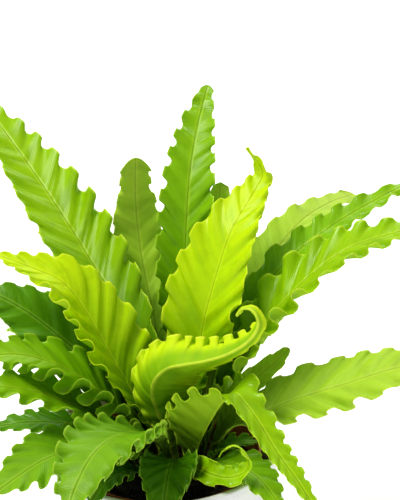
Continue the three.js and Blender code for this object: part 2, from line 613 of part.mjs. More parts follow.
// The plain slot in the crown that a frond's stem stands in.
function socket(frond) {
  const rib = midribOf(frond);
  const start = rib.curve.getPointAt(0);
  const direction = rib.curve.getPointAt(SOCKET_SIGHT / rib.length).sub(start).normalize();
  const { left, face } = acrossRib(rib, direction, frond.roll[0]);
  const box = new THREE.BoxGeometry(
    2 * (stemHalfWidth(frond) + SOCKET_CLEARANCE),
    STEM_THICKNESS + 2 * SOCKET_CLEARANCE,
    SOCKET_LENGTH,
  );
  box.applyMatrix4(new THREE.Matrix4().makeBasis(left, face, direction));
  const middle = start.addScaledVector(direction, SOCKET_LENGTH / 2 - SOCKET_CLEARANCE);
  return box.translate(middle.x, middle.y, middle.z);
}

function crown() {
  const bottom = CROWN_LEVEL - CROWN_DEPTH;
  let solid = solidOf(turned([
    [0, bottom],
    [CROWN_RADIUS, bottom],
    [CROWN_RADIUS, SOIL_TOP + SOIL_DOME],
    [CROWN_RADIUS * CROWN_SHOULDER, CROWN_LEVEL + CROWN_RISE / 2],
    [0, CROWN_LEVEL + CROWN_RISE],
  ], CROWN_SIDES).translate(CROWN_X, 0, 0));
  FRONDS.forEach((frond) => {
    solid = solid.subtract(solidOf(socket(frond)));
  });
  return meshOf('crown', geometryOf(solid), RHIZOME, RHIZOME_ROUGHNESS);
}

const fern = new THREE.Group();
fern.add(planter(), nurseryPot(), soil(), crown());
FRONDS.forEach((frond) => fern.add(frondMesh(frond)));

export default fern;
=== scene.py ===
"""Looks of a potted bird's nest fern of the Osaka kind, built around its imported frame.

Each frond of the frame is replaced by a finer blade of the same form, with its midrib, veins, thin
rims and paler underside. The two pots, the peat and the crown get their fine surfaces too. Sizes are
in millimetres and become metres where a mesh is made.
"""

import logging
import math
from collections.abc import Callable, Sequence
from dataclasses import dataclass
from enum import Enum

import bpy
import numpy as np
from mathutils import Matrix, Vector


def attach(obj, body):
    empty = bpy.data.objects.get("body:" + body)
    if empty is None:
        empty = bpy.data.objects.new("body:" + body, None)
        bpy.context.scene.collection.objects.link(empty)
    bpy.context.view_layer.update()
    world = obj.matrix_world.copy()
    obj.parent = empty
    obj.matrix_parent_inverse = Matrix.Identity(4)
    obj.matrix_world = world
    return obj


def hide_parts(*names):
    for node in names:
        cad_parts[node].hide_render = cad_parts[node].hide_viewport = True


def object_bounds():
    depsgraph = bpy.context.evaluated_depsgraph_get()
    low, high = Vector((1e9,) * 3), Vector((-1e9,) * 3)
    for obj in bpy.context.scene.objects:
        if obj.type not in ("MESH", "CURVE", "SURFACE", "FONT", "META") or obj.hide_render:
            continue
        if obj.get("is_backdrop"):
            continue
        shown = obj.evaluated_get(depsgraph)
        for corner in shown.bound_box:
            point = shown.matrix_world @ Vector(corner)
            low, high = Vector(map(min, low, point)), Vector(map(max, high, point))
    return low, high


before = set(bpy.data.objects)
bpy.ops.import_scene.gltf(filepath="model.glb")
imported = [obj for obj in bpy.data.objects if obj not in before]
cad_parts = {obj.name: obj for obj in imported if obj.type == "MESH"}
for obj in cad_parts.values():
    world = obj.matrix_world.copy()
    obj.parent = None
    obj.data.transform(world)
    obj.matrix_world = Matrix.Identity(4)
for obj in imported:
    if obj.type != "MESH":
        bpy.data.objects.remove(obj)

LOG = logging.getLogger("fern")
Array = np.ndarray
Colour = tuple[float, float, float]
Span = tuple[float, float]
Socket = bpy.types.NodeSocket
Piece = bpy.types.Object

MM = 0.001
BODY = "root"

# The blade's own map, and how many of its units one metre takes.
BLADE_MAP = "Blade"
MAP_UNITS = 10

# Middle of the crown's top, from which every midrib starts.
CROWN_CENTRE = (11.0, 0.0, 104.0)

# Radius of the small ring that closes a turned profile at its axis, and of the one in a rough top.
AXIS_RING = 0.02
TOP_RING = 0.05

# Least length that a vector is divided by.
TINY = 1e-12


class Tone(Enum):
    """The kinds of leaf tissue, from the youngest frond to the oldest, by their material slot."""

    LIME = "leaf_lime"
    BRIGHT = "leaf_bright"
    GREEN = "leaf_green"
    DARK = "leaf_dark"
    MATTE = "leaf_matte"
    # A copy of the lime tissue for the crested frond: painted light on its outer band and painted shade on
    # its darker underside.
    CREST_LIT_AND_SHADED = "leaf_lime_crested"
    # A darker copy of the green tissue for the low front fronds: painted shade, with a rougher gloss.
    DULL = "leaf_green_dull"

    @property
    def slot(self) -> str:
        """The library slot of this tissue: the first two words of its value."""
        return "_".join(self.value.split("_")[:2])


class Face(Enum):
    """The faces and the rim of a blade, by the value that its side attribute holds there."""

    UPPER = 0.0
    RIM = 0.5
    UNDER = 1.0


# Shared maths


def smooth(x: Array) -> Array:
    """Smooth step: 3 x squared less 2 x cubed, with x held between 0 and 1."""
    x = np.clip(x, 0.0, 1.0)
    return x * x * (3.0 - 2.0 * x)


def blend(values: Sequence[float], t: Array) -> Array:
    """The polynomial of least degree through values spaced evenly from t of 0 to 1.

    Args:
        values: The values, from base to tip.
        t: Where it is read.

    Returns:
        The sum of each value times the product, over the others, of (t - their place) over (its own
        place - their place).
    """
    places = np.linspace(0, 1, len(values))
    total = 0 * t
    for i, value in enumerate(values):
        term = value + 0 * t
        for place in np.delete(places, i):
            term = term * (t - place) / (places[i] - place)
        total = total + term
    return total


def unit(vectors: Array) -> Array:
    """The vectors along the last axis, each scaled to a length of 1."""
    return vectors / np.maximum(np.linalg.norm(vectors, axis=-1, keepdims=True), TINY)


# Sines that are averaged in each octave of a ripple, and the gain that brings their mean near 1.
RIPPLE_SINES = 6
RIPPLE_GAIN = 1.6


def ripple(points: Array, pitch: float, seed: int, octaves: int) -> Array:
    """Smooth random relief over points in space, from sines along seeded directions.

    Args:
        points: Points in millimetres, with x, y, z along the last axis.
        pitch: Length of the longest waves, in millimetres.
        seed: Seed of the directions and phases.
        octaves: How many times the pitch is halved, and the height with it.

    Returns:
        The sum over octaves of the mean of the sines of (direction . point) 2 pi / pitch + phase, times
        the gain, each octave half as long and half as high as the one before, from about -1 to 1.
    """
    rng = np.random.default_rng(seed)
    total = np.zeros(points.shape[:-1])
    height = 1.0
    for _ in range(octaves):
        directions = unit(rng.normal(size=(RIPPLE_SINES, 3)))
        phases = rng.uniform(0, 2 * np.pi, RIPPLE_SINES)
        waves = np.sin(points @ directions.T * (2 * np.pi / pitch) + phases)
        total += height * waves.mean(-1) * RIPPLE_GAIN
        pitch /= 2
        height /= 2
    return total


def ring(radius: Array | float, angle: Array, height: Array | float) -> Array:
    """Points (radius cos angle, radius sin angle, height), in the shape that the three spread to."""
    return np.stack(np.broadcast_arrays(radius * np.cos(angle), radius * np.sin(angle), height), -1)


def round_angles(count: int) -> Array:
    """That many angles spaced evenly round a full turn."""
    return np.linspace(0, 2 * np.pi, count, endpoint=False)


# Meshes


def grid_faces(rows: int, columns: int) -> Array:
    """Quads of a grid of points that are numbered row by row, each row being a closed loop.

    Args:
        rows: Number of rows.
        columns: Number of points in a row, of which the last joins the first.

    Returns:
        An array of four point numbers for each quad.
    """
    i, j = np.meshgrid(np.arange(rows - 1), np.arange(columns), indexing="ij")
    k = (j + 1) % columns
    near, far = i * columns, (i + 1) * columns
    return np.stack([near + j, near + k, far + k, far + j], -1).reshape(-1, 4)


def signed_volume(points: Array, faces: Sequence[Sequence[int]]) -> float:
    """The volume that closed faces hold.

    Args:
        points: Points of the mesh, one to a row.
        faces: Point numbers of each face.

    Returns:
        A sixth of the sum, over the triangles that fan out from each face's first point, of the triple
        product of their corners. It is negative where the faces point inwards.
    """
    total = 0.0
    for size in {len(f) for f in faces}:
        same = np.array([f for f in faces if len(f) == size])
        for k in range(1, size - 1):
            a, b, c = points[same[:, 0]], points[same[:, k]], points[same[:, k + 1]]
            total += float(np.einsum("ij,ij->", a, np.cross(b, c)))
    return total / 6.0


def mesh_piece(name: str, points: Array, faces: Sequence[Sequence[int]]) -> Piece:
    """A smooth mesh object at the origin, with its faces turned outwards.

    Args:
        name: Name of the piece.
        points: Points in millimetres, in the frame.
        faces: Point numbers of each face, all turned the same way.

    Returns:
        The object, linked to the scene.
    """
    points = points.reshape(-1, 3)
    if signed_volume(points, faces) < 0:
        faces = [tuple(reversed(f)) for f in faces]
    mesh = bpy.data.meshes.new(name)
    mesh.from_pydata((points * MM).tolist(), [], [tuple(map(int, f)) for f in faces])
    mesh.polygons.foreach_set("use_smooth", np.ones(len(faces), bool))
    mesh.update()
    piece = bpy.data.objects.new(name, mesh)
    bpy.context.scene.collection.objects.link(piece)
    return piece


def fit_out(piece: Piece, material: bpy.types.Material, slot: str, *nodes: str) -> Piece:
    """Gives a piece its finish and its body, and hides the frame's nodes that it stands for.

    Args:
        piece: The piece.
        material: Its finish.
        slot: Its material slot; not used.
        *nodes: The frame's nodes that it replaces, if any.

    Returns:
        The same piece.
    """
    piece.data.materials.append(material)
    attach(piece, BODY)
    if nodes:
        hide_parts(*nodes)
    return piece


def set_values(piece: Piece, name: str, values: Array) -> None:
    """Stores one number for each point of a mesh as an attribute."""
    attribute = piece.data.attributes.new(name, "FLOAT", "POINT")
    attribute.data.foreach_set("value", np.ascontiguousarray(values, np.float32).ravel())


def set_map(piece: Piece, name: str, flat: Array) -> None:
    """Stores a UV map.

    Args:
        piece: The piece.
        name: Name of the map.
        flat: One pair of numbers for each point, which every face corner at that point takes.
    """
    layer = piece.data.uv_layers.new(name=name)
    corners = np.empty(len(piece.data.loops), np.int32)
    piece.data.loops.foreach_get("vertex_index", corners)
    layer.data.foreach_set("uv", np.ascontiguousarray(flat.reshape(-1, 2)[corners], np.float32).ravel())


def closed_at_axis(name: str, points: Array) -> Piece:
    """A mesh of rings of points, with a face over the small ring at each end.

    Args:
        name: Name of the piece.
        points: Rings of points round an axis, the first and the last of them small.

    Returns:
        The piece.
    """
    rows, segments = points.shape[:2]
    last = (rows - 1) * segments
    ends = [tuple(range(segments))[::-1], tuple(range(last, last + segments))]
    return mesh_piece(name, points, grid_faces(rows, segments).tolist() + ends)


def turned(name: str, profile: Array, segments: int, centre: Span = (0.0, 0.0)) -> Piece:
    """A profile turned about an upright axis: (radius cos a + x, radius sin a + y, height) at each angle a.

    Args:
        name: Name of the piece.
        profile: Points (radius, height) of its section, in millimetres. Both ends lie near the axis.
        segments: Number of steps round the axis.
        centre: Where the axis stands.

    Returns:
        The piece.
    """
    points = ring(profile[:, :1], round_angles(segments), profile[:, 1:])
    return closed_at_axis(name, points + np.array([*centre, 0.0]))


def filling(
    skirt: Sequence[Span], radius: float, rings: int, segments: int, height: Callable[[Array, Array], Array]
) -> Array:
    """Rings of points of a round body with a rough top.

    Args:
        skirt: (radius, height) of the rings below the top, from the bottom's middle outwards and up.
        radius: Radius of the top.
        rings: Number of rings in the top, evenly spaced from its edge to its middle.
        segments: Number of points in a ring.
        height: The top's height at places x and y beside the axis.

    Returns:
        The points (radius cos a, radius sin a, height) of each ring at each angle a.
    """
    angle = round_angles(segments)
    below = np.array(skirt)
    level = ring(np.linspace(radius, TOP_RING, rings)[:, None], angle, 0.0)
    level[..., 2] = height(level[..., 0], level[..., 1])
    return np.concatenate([ring(below[:, :1], angle, below[:, 1:]), level])


# Points round each rounded corner of a profile.
CORNER_STEPS = 5


def rounded(corners: Sequence[tuple[float, float, float]]) -> Array:
    """A profile with rounded corners.

    Args:
        corners: (radius, height, rounding) of each corner; a rounding of 0 keeps it sharp.

    Returns:
        The profile's points: round a corner, the curve (1 - s)^2 a + 2s(1 - s) corner + s^2 b between
        the points a and b that lie one rounding before and behind it.
    """
    found = []
    flat = np.array([c[:2] for c in corners], float)
    for i, (x, y, size) in enumerate(corners):
        here = np.array([x, y])
        if size == 0 or i in (0, len(corners) - 1):
            found.append(here[None])
            continue
        a = here + unit(flat[i - 1] - here) * size
        b = here + unit(flat[i + 1] - here) * size
        s = np.linspace(0, 1, CORNER_STEPS)[:, None]
        found.append((1 - s) ** 2 * a + 2 * s * (1 - s) * here + s * s * b)
    return np.concatenate(found)


def filled(profile: Array, spacing: float) -> Array:
    """A profile with points added on its straight parts.

    Args:
        profile: The points.
        spacing: The greatest distance that is left between two of them.

    Returns:
        The profile, with each part a to b cut into equal steps a + (b - a) i / count.
    """
    found = [profile[:1]]
    for a, b in zip(profile[:-1], profile[1:]):
        count = max(1, math.ceil(np.linalg.norm(b - a) / spacing))
        share = np.arange(1, count + 1)[:, None] / count
        found.append(a + (b - a) * share)
    return np.concatenate(found)


# Materials

# How strong each finer octave of a noise is beside the one before.
NOISE_ROUGHNESS = 0.55


class Nodes:
    """Short ways to add and join the nodes of one material."""

    def __init__(self, name: str) -> None:
        """Makes a material with a Principled shader on its output.

        Args:
            name: Name of the material.
        """
        self.material = bpy.data.materials.new(name)
        self.material.use_nodes = True
        self.tree = self.material.node_tree
        self.tree.nodes.clear()
        output = self.add("OutputMaterial")
        self.shader = self.add("BsdfPrincipled")
        self.join(self.shader.outputs[0], output.inputs[0])

    def add(self, kind: str) -> bpy.types.Node:
        """Adds a node, named by the end of its type."""
        return self.tree.nodes.new("ShaderNode" + kind)

    def join(self, source: Socket, target: Socket) -> None:
        """Links two sockets."""
        self.tree.links.new(source, target)

    def fill(self, socket: Socket, value: object) -> None:
        """Links a socket to another one, or sets it.

        Args:
            socket: The socket.
            value: Another socket, a number, or a colour of three numbers.
        """
        if isinstance(value, Socket):
            self.join(value, socket)
        elif isinstance(value, tuple) and len(value) == 3 and socket.type == "RGBA":
            socket.default_value = (*value, 1.0)
        else:
            socket.default_value = value

    def maths(self, operation: str, *values: object, clamp: bool = False) -> Socket:
        """One Math node.

        Args:
            operation: What it does.
            *values: The numbers or sockets that it takes, one to three.
            clamp: Whether its result is held between 0 and 1.

        Returns:
            Its output.
        """
        node = self.add("Math")
        node.operation = operation
        node.use_clamp = clamp
        for socket, value in zip(node.inputs, values):
            self.fill(socket, value)
        return node.outputs[0]

    def times(self, a: object, b: object) -> Socket:
        """The product of two numbers."""
        return self.maths("MULTIPLY", a, b)

    def bent_wave(self, value: object, turns: float, bend: object, amount: float) -> Socket:
        """The sine of value times turns, plus bend times amount."""
        return self.maths("SINE", self.maths("ADD", self.times(value, turns), self.times(bend, amount)))

    def step(self, value: object, low: float, high: float, out: Span = (0.0, 1.0)) -> Socket:
        """A smooth step.

        Args:
            value: What is stepped.
            low: The value where the step starts.
            high: The value where it ends, which may be the lower one.
            out: What it gives at its start and at its end.

        Returns:
            The step's output.
        """
        node = self.add("MapRange")
        node.interpolation_type = "SMOOTHSTEP"
        names = ("Value", "From Min", "From Max", "To Min", "To Max")
        for name, given in zip(names, (value, low, high, *out)):
            self.fill(node.inputs[name], given)
        return node.outputs[0]

    def mix(self, share: object, a: object, b: object) -> Socket:
        """A mix of two colours.

        Args:
            share: How much of the second there is, from 0 to 1.
            a: The first colour.
            b: The second colour.

        Returns:
            The mixed colour.
        """
        node = self.add("Mix")
        node.data_type = "RGBA"
        self.fill(node.inputs["Factor"], share)
        self.fill(node.inputs[6], a)
        self.fill(node.inputs[7], b)
        return node.outputs[2]

    def attribute(self, name: str) -> Socket:
        """A number that the mesh stores.

        Args:
            name: Name of the attribute.

        Returns:
            Its value.
        """
        node = self.add("Attribute")
        node.attribute_name = name
        return node.outputs["Fac"]

    def split(self, place: Socket) -> tuple[Socket, Socket, Socket]:
        """The coordinates of a place.

        Args:
            place: The place.

        Returns:
            Its x, y and z.
        """
        node = self.add("SeparateXYZ")
        self.join(place, node.inputs[0])
        return tuple(node.outputs)

    def blade_map(self) -> tuple[Socket, Socket]:
        """The blade's own map.

        Returns:
            Its two coordinates: along the midrib, and across from it.
        """
        node = self.add("UVMap")
        node.uv_map = BLADE_MAP
        return self.split(node.outputs[0])[:2]

    def spot(self, x: object, y: object) -> Socket:
        """A place made of two coordinates.

        Args:
            x: The first.
            y: The second.

        Returns:
            The place, with a z of 0.
        """
        node = self.add("CombineXYZ")
        self.fill(node.inputs[0], x)
        self.fill(node.inputs[1], y)
        return node.outputs[0]

    def place(self) -> Socket:
        """Object coordinates, in metres."""
        return self.add("TexCoord").outputs["Object"]

    def noise(
        self, scale: float, detail: float, where: Socket | None = None, rough: float = NOISE_ROUGHNESS
    ) -> Socket:
        """Noise over a place.

        Args:
            scale: How many of its largest features one unit of the place takes.
            detail: How many finer octaves it has.
            where: The place, by default the object coordinates.
            rough: How strong each finer octave is beside the one before.

        Returns:
            The noise's value, from 0 to 1.
        """
        node = self.add("TexNoise")
        for name, value in (("Scale", scale), ("Detail", detail), ("Roughness", rough)):
            node.inputs[name].default_value = value
        self.join(where or self.place(), node.inputs["Vector"])
        return node.outputs["Fac"]

    def cells(self, scale: float) -> Socket:
        """Pores scattered over the object coordinates.

        Args:
            scale: How many there are to the metre.

        Returns:
            The distance to the nearest, as a share of their spacing.
        """
        node = self.add("TexVoronoi")
        node.inputs["Scale"].default_value = scale
        self.join(self.place(), node.inputs["Vector"])
        return node.outputs["Distance"]

    def bump(self, height: Socket, distance: float, strength: float, below: Socket | None = None) -> Socket:
        """Relief on a surface.

        Args:
            height: The height of the relief, from 0 to 1.
            distance: What a height of 1 stands for, in metres.
            strength: How much of it shows.
            below: Another relief that it lies on.

        Returns:
            The normal of the surface.
        """
        node = self.add("Bump")
        node.inputs["Strength"].default_value = strength
        node.inputs["Distance"].default_value = distance
        self.join(height, node.inputs["Height"])
        if below is not None:
            self.join(below, node.inputs["Normal"])
        return node.outputs[0]

    def finish(self, **sockets: object) -> bpy.types.Material:
        """Fills the shader's sockets.

        Args:
            **sockets: What each takes, under its name with _ for a space.

        Returns:
            The material.
        """
        for name, value in sockets.items():
            self.fill(self.shader.inputs[name.replace("_", " ")], value)
        return self.material


@dataclass(frozen=True)
class LeafFinish:
    """Living leaf tissue: a glossy upper face, a paler matt underside and a thin bright rim.

    base, body and tip colour the upper face from its foot to its end, base being darker partly as
    painted shade deep in the crown, under the lower face, and rim the margin and the midrib's lines; the
    rim's pale line at the margin also stands for a painted highlight along the edge. gloss is the upper
    face's roughness, glow the share of the light that goes into the tissue, and margin how much of the
    tip's colour the outer parts of the blade take, partly a paler tint and partly painted light, as on
    the crested frond's lit band.
    """

    tone: Tone
    base: Colour
    body: Colour
    tip: Colour
    rim: Colour
    under: Colour
    gloss: float = 0.27
    glow: float = 0.22
    margin: float = 0.25

    # The painted shade of every blade's foot deep in the crown, partly also a darker stem, and the brown of
    # its dry nicks.
    FOOT_SHADE_COLOUR = (0.008, 0.03, 0.002)
    NICK = (0.45, 0.16, 0.05)
    # Noises, as features to the metre and octaves: clouds and mottling in the colour, nicks on the
    # margin, unevenness of the gloss, and the grain of the skin.
    CLOUDS = (38.0, 3.0)
    MOTTLES = (95.0, 4.0)
    NICKS = (150.0, 1.0)
    SHEEN = (220.0, 2.0)
    GRAIN = (900.0, 2.0)
    # Waves over the blade's map: the veins, one and a quarter millimetres apart, as radians to a unit
    # and how far the clouds bend them, and the shallow pleats, about a centimetre apart, as features
    # to a unit along and across. Both run with the folds.
    VEINS = 500.0
    VEIN_BEND = 5.0
    PLEATS_ALONG = 10.0
    PLEATS_ACROSS = 2.0
    # Steps, as where each starts and ends and what it gives there. By the share of the length: from
    # base to body, the base partly painted shade deep in the crown, from body to tip, the paler tint
    # and painted light of the outer parts, and the painted shade of the foot.
    YOUNG = (0.14, 0.6)
    OLD = (0.5, 1.0)
    OUTER_TINT_AND_LIGHT_ALONG = (0.1, 0.5)
    SHADED = (0.26, 0.04, (0.0, 0.7))
    # By the share of the half width: the outer parts, the rim, and where nicks may be.
    OUTER = (0.35, 0.8)
    RIM = (0.94, 1.0, (0.0, 0.5))
    NICKED = (0.95, 0.99, (0.0, 0.85))
    # By the distance from the midrib in the map's units: the outer and the inner edge of its two pale
    # lines, its dark groove, and the pale band of the lower face.
    LINE_OUTER = (0.022, 0.007)
    LINE_INNER = (0.007, 0.002)
    GROOVE = (0.006, 0.001, (0.0, 0.3))
    BAND = (0.02, 0.006, (0.0, 0.6))
    # By the value of a noise or a wave: the tip's colour in the upper face's clouds, the body's in the
    # lower face's, the base's in the mottles, the nicks, the veins, and the painted shade in the pleats'
    # valleys.
    CLOUD_TIP = (0.35, 0.75, (0.0, 0.35))
    CLOUD_BODY = (0.3, 0.8, (0.0, 0.3))
    MOTTLE = (0.45, 0.8, (0.0, 0.28))
    NICK_SPOT = (0.74, 0.79)
    VEIN = (0.35, 1.0)
    VALLEY_SHADE = (0.52, 0.3, (0.0, 0.25))
    # Strengths of the veins on either face, of the pale lines, and of the base's colour that the lower
    # face takes near its foot as painted shade.
    VEIN_UPPER = 0.13
    VEIN_UNDER = 0.18
    LINES = 0.35
    UNDER_FOOT_SHADE = 0.3
    # Reliefs, as a height in metres and how much of it shows.
    GRAIN_RELIEF = (0.00006, 0.5)
    VEIN_RELIEF = (0.00005, 0.55)
    PLEAT_RELIEF = (0.004, 0.7)
    # Roughness of the lower face and what its unevenness adds, how light scatters in the tissue, and
    # how little it shines.
    MATT = 0.62
    UNEVENNESS = 0.1
    GLOW_COLOUR = (0.5, 1.0, 0.12)
    GLOW_DEPTH = 0.0012
    SHINE = 0.28

    def material(self) -> bpy.types.Material:
        """Builds the material.

        Returns:
            A material that reads the blade's map and its side, reach and along attributes.
        """
        n = Nodes(self.tone.value)
        along, reach, side = n.attribute("along"), n.attribute("reach"), n.attribute("side")
        length, width = n.blade_map()
        off_rib = n.maths("ABSOLUTE", width)
        cloud = n.noise(*self.CLOUDS)
        young = n.step(along, *self.YOUNG)
        veins = n.bent_wave(length, self.VEINS, cloud, self.VEIN_BEND)
        vein = n.step(veins, *self.VEIN)
        where = n.spot(n.times(length, self.PLEATS_ALONG), n.times(width, self.PLEATS_ACROSS))
        pleats = n.noise(1.0, 1.0, where)
        # Painted shade: the pleats' valleys are darkened towards the base colour.
        valley_shade = n.step(pleats, *self.VALLEY_SHADE)

        # The darker base towards the crown is partly painted shade.
        upper = n.mix(young, self.base, self.body)
        upper = n.mix(n.step(along, *self.OLD), upper, self.tip)
        upper = n.mix(n.step(cloud, *self.CLOUD_TIP), upper, self.tip)
        upper = n.mix(n.step(n.noise(*self.MOTTLES), *self.MOTTLE), upper, self.base)
        upper = n.mix(n.times(vein, self.VEIN_UPPER), upper, self.base)
        # Painted shade in the pleats' valleys of the upper face.
        upper = n.mix(valley_shade, upper, self.base)
        inner = n.step(off_rib, *self.LINE_INNER)
        line = n.maths("SUBTRACT", n.step(off_rib, *self.LINE_OUTER), inner, clamp=True)
        upper = n.mix(n.times(line, self.LINES), upper, self.rim)
        upper = n.mix(n.step(off_rib, *self.GROOVE), upper, self.base)

        under = n.mix(n.step(off_rib, *self.BAND), self.under, self.rim)
        under = n.mix(n.times(vein, self.VEIN_UNDER), under, self.body)
        under = n.mix(n.step(cloud, *self.CLOUD_BODY), under, self.body)
        # Painted shade: the lower face takes some of the dark base colour towards the crown.
        under = n.mix(young, n.mix(self.UNDER_FOOT_SHADE, under, self.base), under)
        # Painted shade in the pleats' valleys of the lower face.
        under = n.mix(valley_shade, under, self.base)

        # The outer parts' tint and painted light, the painted shade of the foot, the rim with its partly
        # painted highlight and the nicks are alike on both faces.
        outer_tint_and_light = n.times(n.step(reach, *self.OUTER, (0.0, self.margin)), n.step(along, *self.OUTER_TINT_AND_LIGHT_ALONG))
        colour = n.mix(side, n.mix(outer_tint_and_light, upper, self.tip), n.mix(outer_tint_and_light, under, self.tip))
        # Painted shade: the dark foot colour deep in the crown.
        colour = n.mix(n.step(along, *self.SHADED), colour, self.FOOT_SHADE_COLOUR)
        # Pale rim along the margin, partly a painted highlight where the edge catches the light.
        colour = n.mix(n.step(reach, *self.RIM), colour, self.rim)
        nick = n.times(n.step(n.noise(*self.NICKS), *self.NICK_SPOT), n.step(reach, *self.NICKED))
        colour = n.mix(nick, colour, self.NICK)

        rough = n.maths("MULTIPLY_ADD", n.noise(*self.SHEEN), self.UNEVENNESS, self.gloss)
        rough = n.maths("MULTIPLY_ADD", side, self.MATT - self.gloss, rough)
        relief = n.bump(n.noise(*self.GRAIN), *self.GRAIN_RELIEF)
        relief = n.bump(veins, *self.VEIN_RELIEF, relief)
        relief = n.bump(pleats, *self.PLEAT_RELIEF, relief)
        n.shader.inputs["Subsurface Radius"].default_value = self.GLOW_COLOUR
        return n.finish(
            Base_Color=colour, Roughness=rough, Normal=relief, Specular_IOR_Level=self.SHINE,
            Subsurface_Weight=self.glow, Subsurface_Scale=self.GLOW_DEPTH,
        )


LEAF_FINISHES = (
    LeafFinish(Tone.LIME, (0.10, 0.33, 0.001), (0.50, 0.74, 0.001), (0.64, 0.82, 0.002),
               (0.80, 0.92, 0.04), (0.48, 0.68, 0.006)),
    # Painted light and shade: lime tissue with a darker underside, its outer band lit by a margin of 0.9.
    LeafFinish(Tone.CREST_LIT_AND_SHADED, (0.07, 0.25, 0.001), (0.50, 0.70, 0.002), (0.62, 0.80, 0.004),
               (0.86, 0.92, 0.10), (0.25, 0.49, 0.003), margin=0.9),
    LeafFinish(Tone.BRIGHT, (0.05, 0.19, 0.001), (0.33, 0.56, 0.001), (0.34, 0.58, 0.002),
               (0.66, 0.82, 0.05), (0.40, 0.60, 0.02)),
    LeafFinish(Tone.GREEN, (0.05, 0.18, 0.001), (0.23, 0.48, 0.002), (0.27, 0.51, 0.003),
               (0.52, 0.70, 0.05), (0.34, 0.54, 0.03)),
    # Painted shade: the green tissue darkened for the low front fronds.
    LeafFinish(Tone.DULL, (0.03, 0.12, 0.002), (0.15, 0.35, 0.005), (0.23, 0.45, 0.008),
               (0.46, 0.64, 0.05), (0.32, 0.50, 0.04), gloss=0.4),
    LeafFinish(Tone.DARK, (0.018, 0.08, 0.002), (0.09, 0.26, 0.003), (0.13, 0.32, 0.004),
               (0.38, 0.58, 0.06), (0.26, 0.44, 0.05)),
    LeafFinish(Tone.MATTE, (0.14, 0.28, 0.008), (0.39, 0.59, 0.035), (0.45, 0.64, 0.05),
               (0.58, 0.70, 0.10), (0.46, 0.62, 0.08), gloss=0.5),
)


@dataclass(frozen=True)
class GlazeFinish:
    """White glaze with faint turning rings and pinholes, worn matt at the foot.

    Noises are given as features to the metre and octaves, steps as where they start and end and what
    they give there, and reliefs as a height in metres and how much of it shows.
    """

    colour: Colour = (0.80, 0.80, 0.83)
    shade: Colour = (0.70, 0.70, 0.74)
    pinhole: Colour = (0.42, 0.40, 0.38)
    foot: Colour = (0.62, 0.56, 0.48)

    CLOUDS = (14.0, 3.0)
    CLOUD_SHADE = (0.35, 0.7, (0.0, 0.5))
    PINHOLES = 420.0
    PINHOLE_SIZE = (0.07, 0.03, (0.0, 0.35))
    # By the height in metres: where the glaze is worn, and what that adds to the roughness.
    WORN = (0.0035, 0.002)
    WORN_ROUGHNESS = 0.5
    # Radians to the metre of the rings, and how far the clouds bend them.
    RINGS = 900.0
    RING_BEND = 9.0
    RING_RELIEF = (0.00012, 0.35)
    DENTS = (60.0, 2.0)
    DENT_RELIEF = (0.0006, 0.25)
    SHEEN = (25.0, 2.0)
    ROUGHNESS = (0.3, 0.7, (0.24, 0.34))
    COAT = 0.25
    COAT_ROUGHNESS = 0.12

    def material(self) -> bpy.types.Material:
        """Builds the material.

        Returns:
            A material that reads the pot's height for its foot and its rings.
        """
        n = Nodes("white_glaze")
        height = n.split(n.place())[2]
        cloud = n.noise(*self.CLOUDS)
        worn = n.step(height, *self.WORN)
        colour = n.mix(n.step(cloud, *self.CLOUD_SHADE), self.colour, self.shade)
        colour = n.mix(n.step(n.cells(self.PINHOLES), *self.PINHOLE_SIZE), colour, self.pinhole)
        relief = n.bump(n.bent_wave(height, self.RINGS, cloud, self.RING_BEND), *self.RING_RELIEF)
        rough = n.step(n.noise(*self.SHEEN), *self.ROUGHNESS)
        return n.finish(
            Base_Color=n.mix(worn, colour, self.foot),
            Roughness=n.maths("MULTIPLY_ADD", worn, self.WORN_ROUGHNESS, rough),
            Normal=n.bump(n.noise(*self.DENTS), *self.DENT_RELIEF, relief),
            Coat_Weight=self.COAT, Coat_Roughness=self.COAT_ROUGHNESS,
        )


@dataclass(frozen=True)
class PlasticFinish:
    """Moulded terracotta-red plastic, dusted with peat and scuffed paler, with a fine grain."""

    colour: Colour = (0.40, 0.105, 0.052)
    dust: Colour = (0.12, 0.07, 0.045)
    scuff: Colour = (0.52, 0.17, 0.09)

    DUST = (70.0, 5.0)
    DUSTED = (0.56, 0.74, (0.0, 0.6))
    SCUFFS = (18.0, 2.0)
    SCUFFED = (0.35, 0.75, (0.0, 0.3))
    SHEEN = (240.0, 3.0)
    ROUGHNESS = (0.3, 0.7, (0.38, 0.6))
    GRAIN = (1500.0, 2.0)
    GRAIN_RELIEF = (0.00005, 0.5)

    def material(self) -> bpy.types.Material:
        """Builds the material.

        Returns:
            A material that reads the pot's own coordinates.
        """
        n = Nodes("nursery_plastic")
        colour = n.mix(n.step(n.noise(*self.DUST), *self.DUSTED), self.colour, self.dust)
        return n.finish(
            Base_Color=n.mix(n.step(n.noise(*self.SCUFFS), *self.SCUFFED), colour, self.scuff),
            Roughness=n.step(n.noise(*self.SHEEN), *self.ROUGHNESS),
            Normal=n.bump(n.noise(*self.GRAIN), *self.GRAIN_RELIEF),
        )


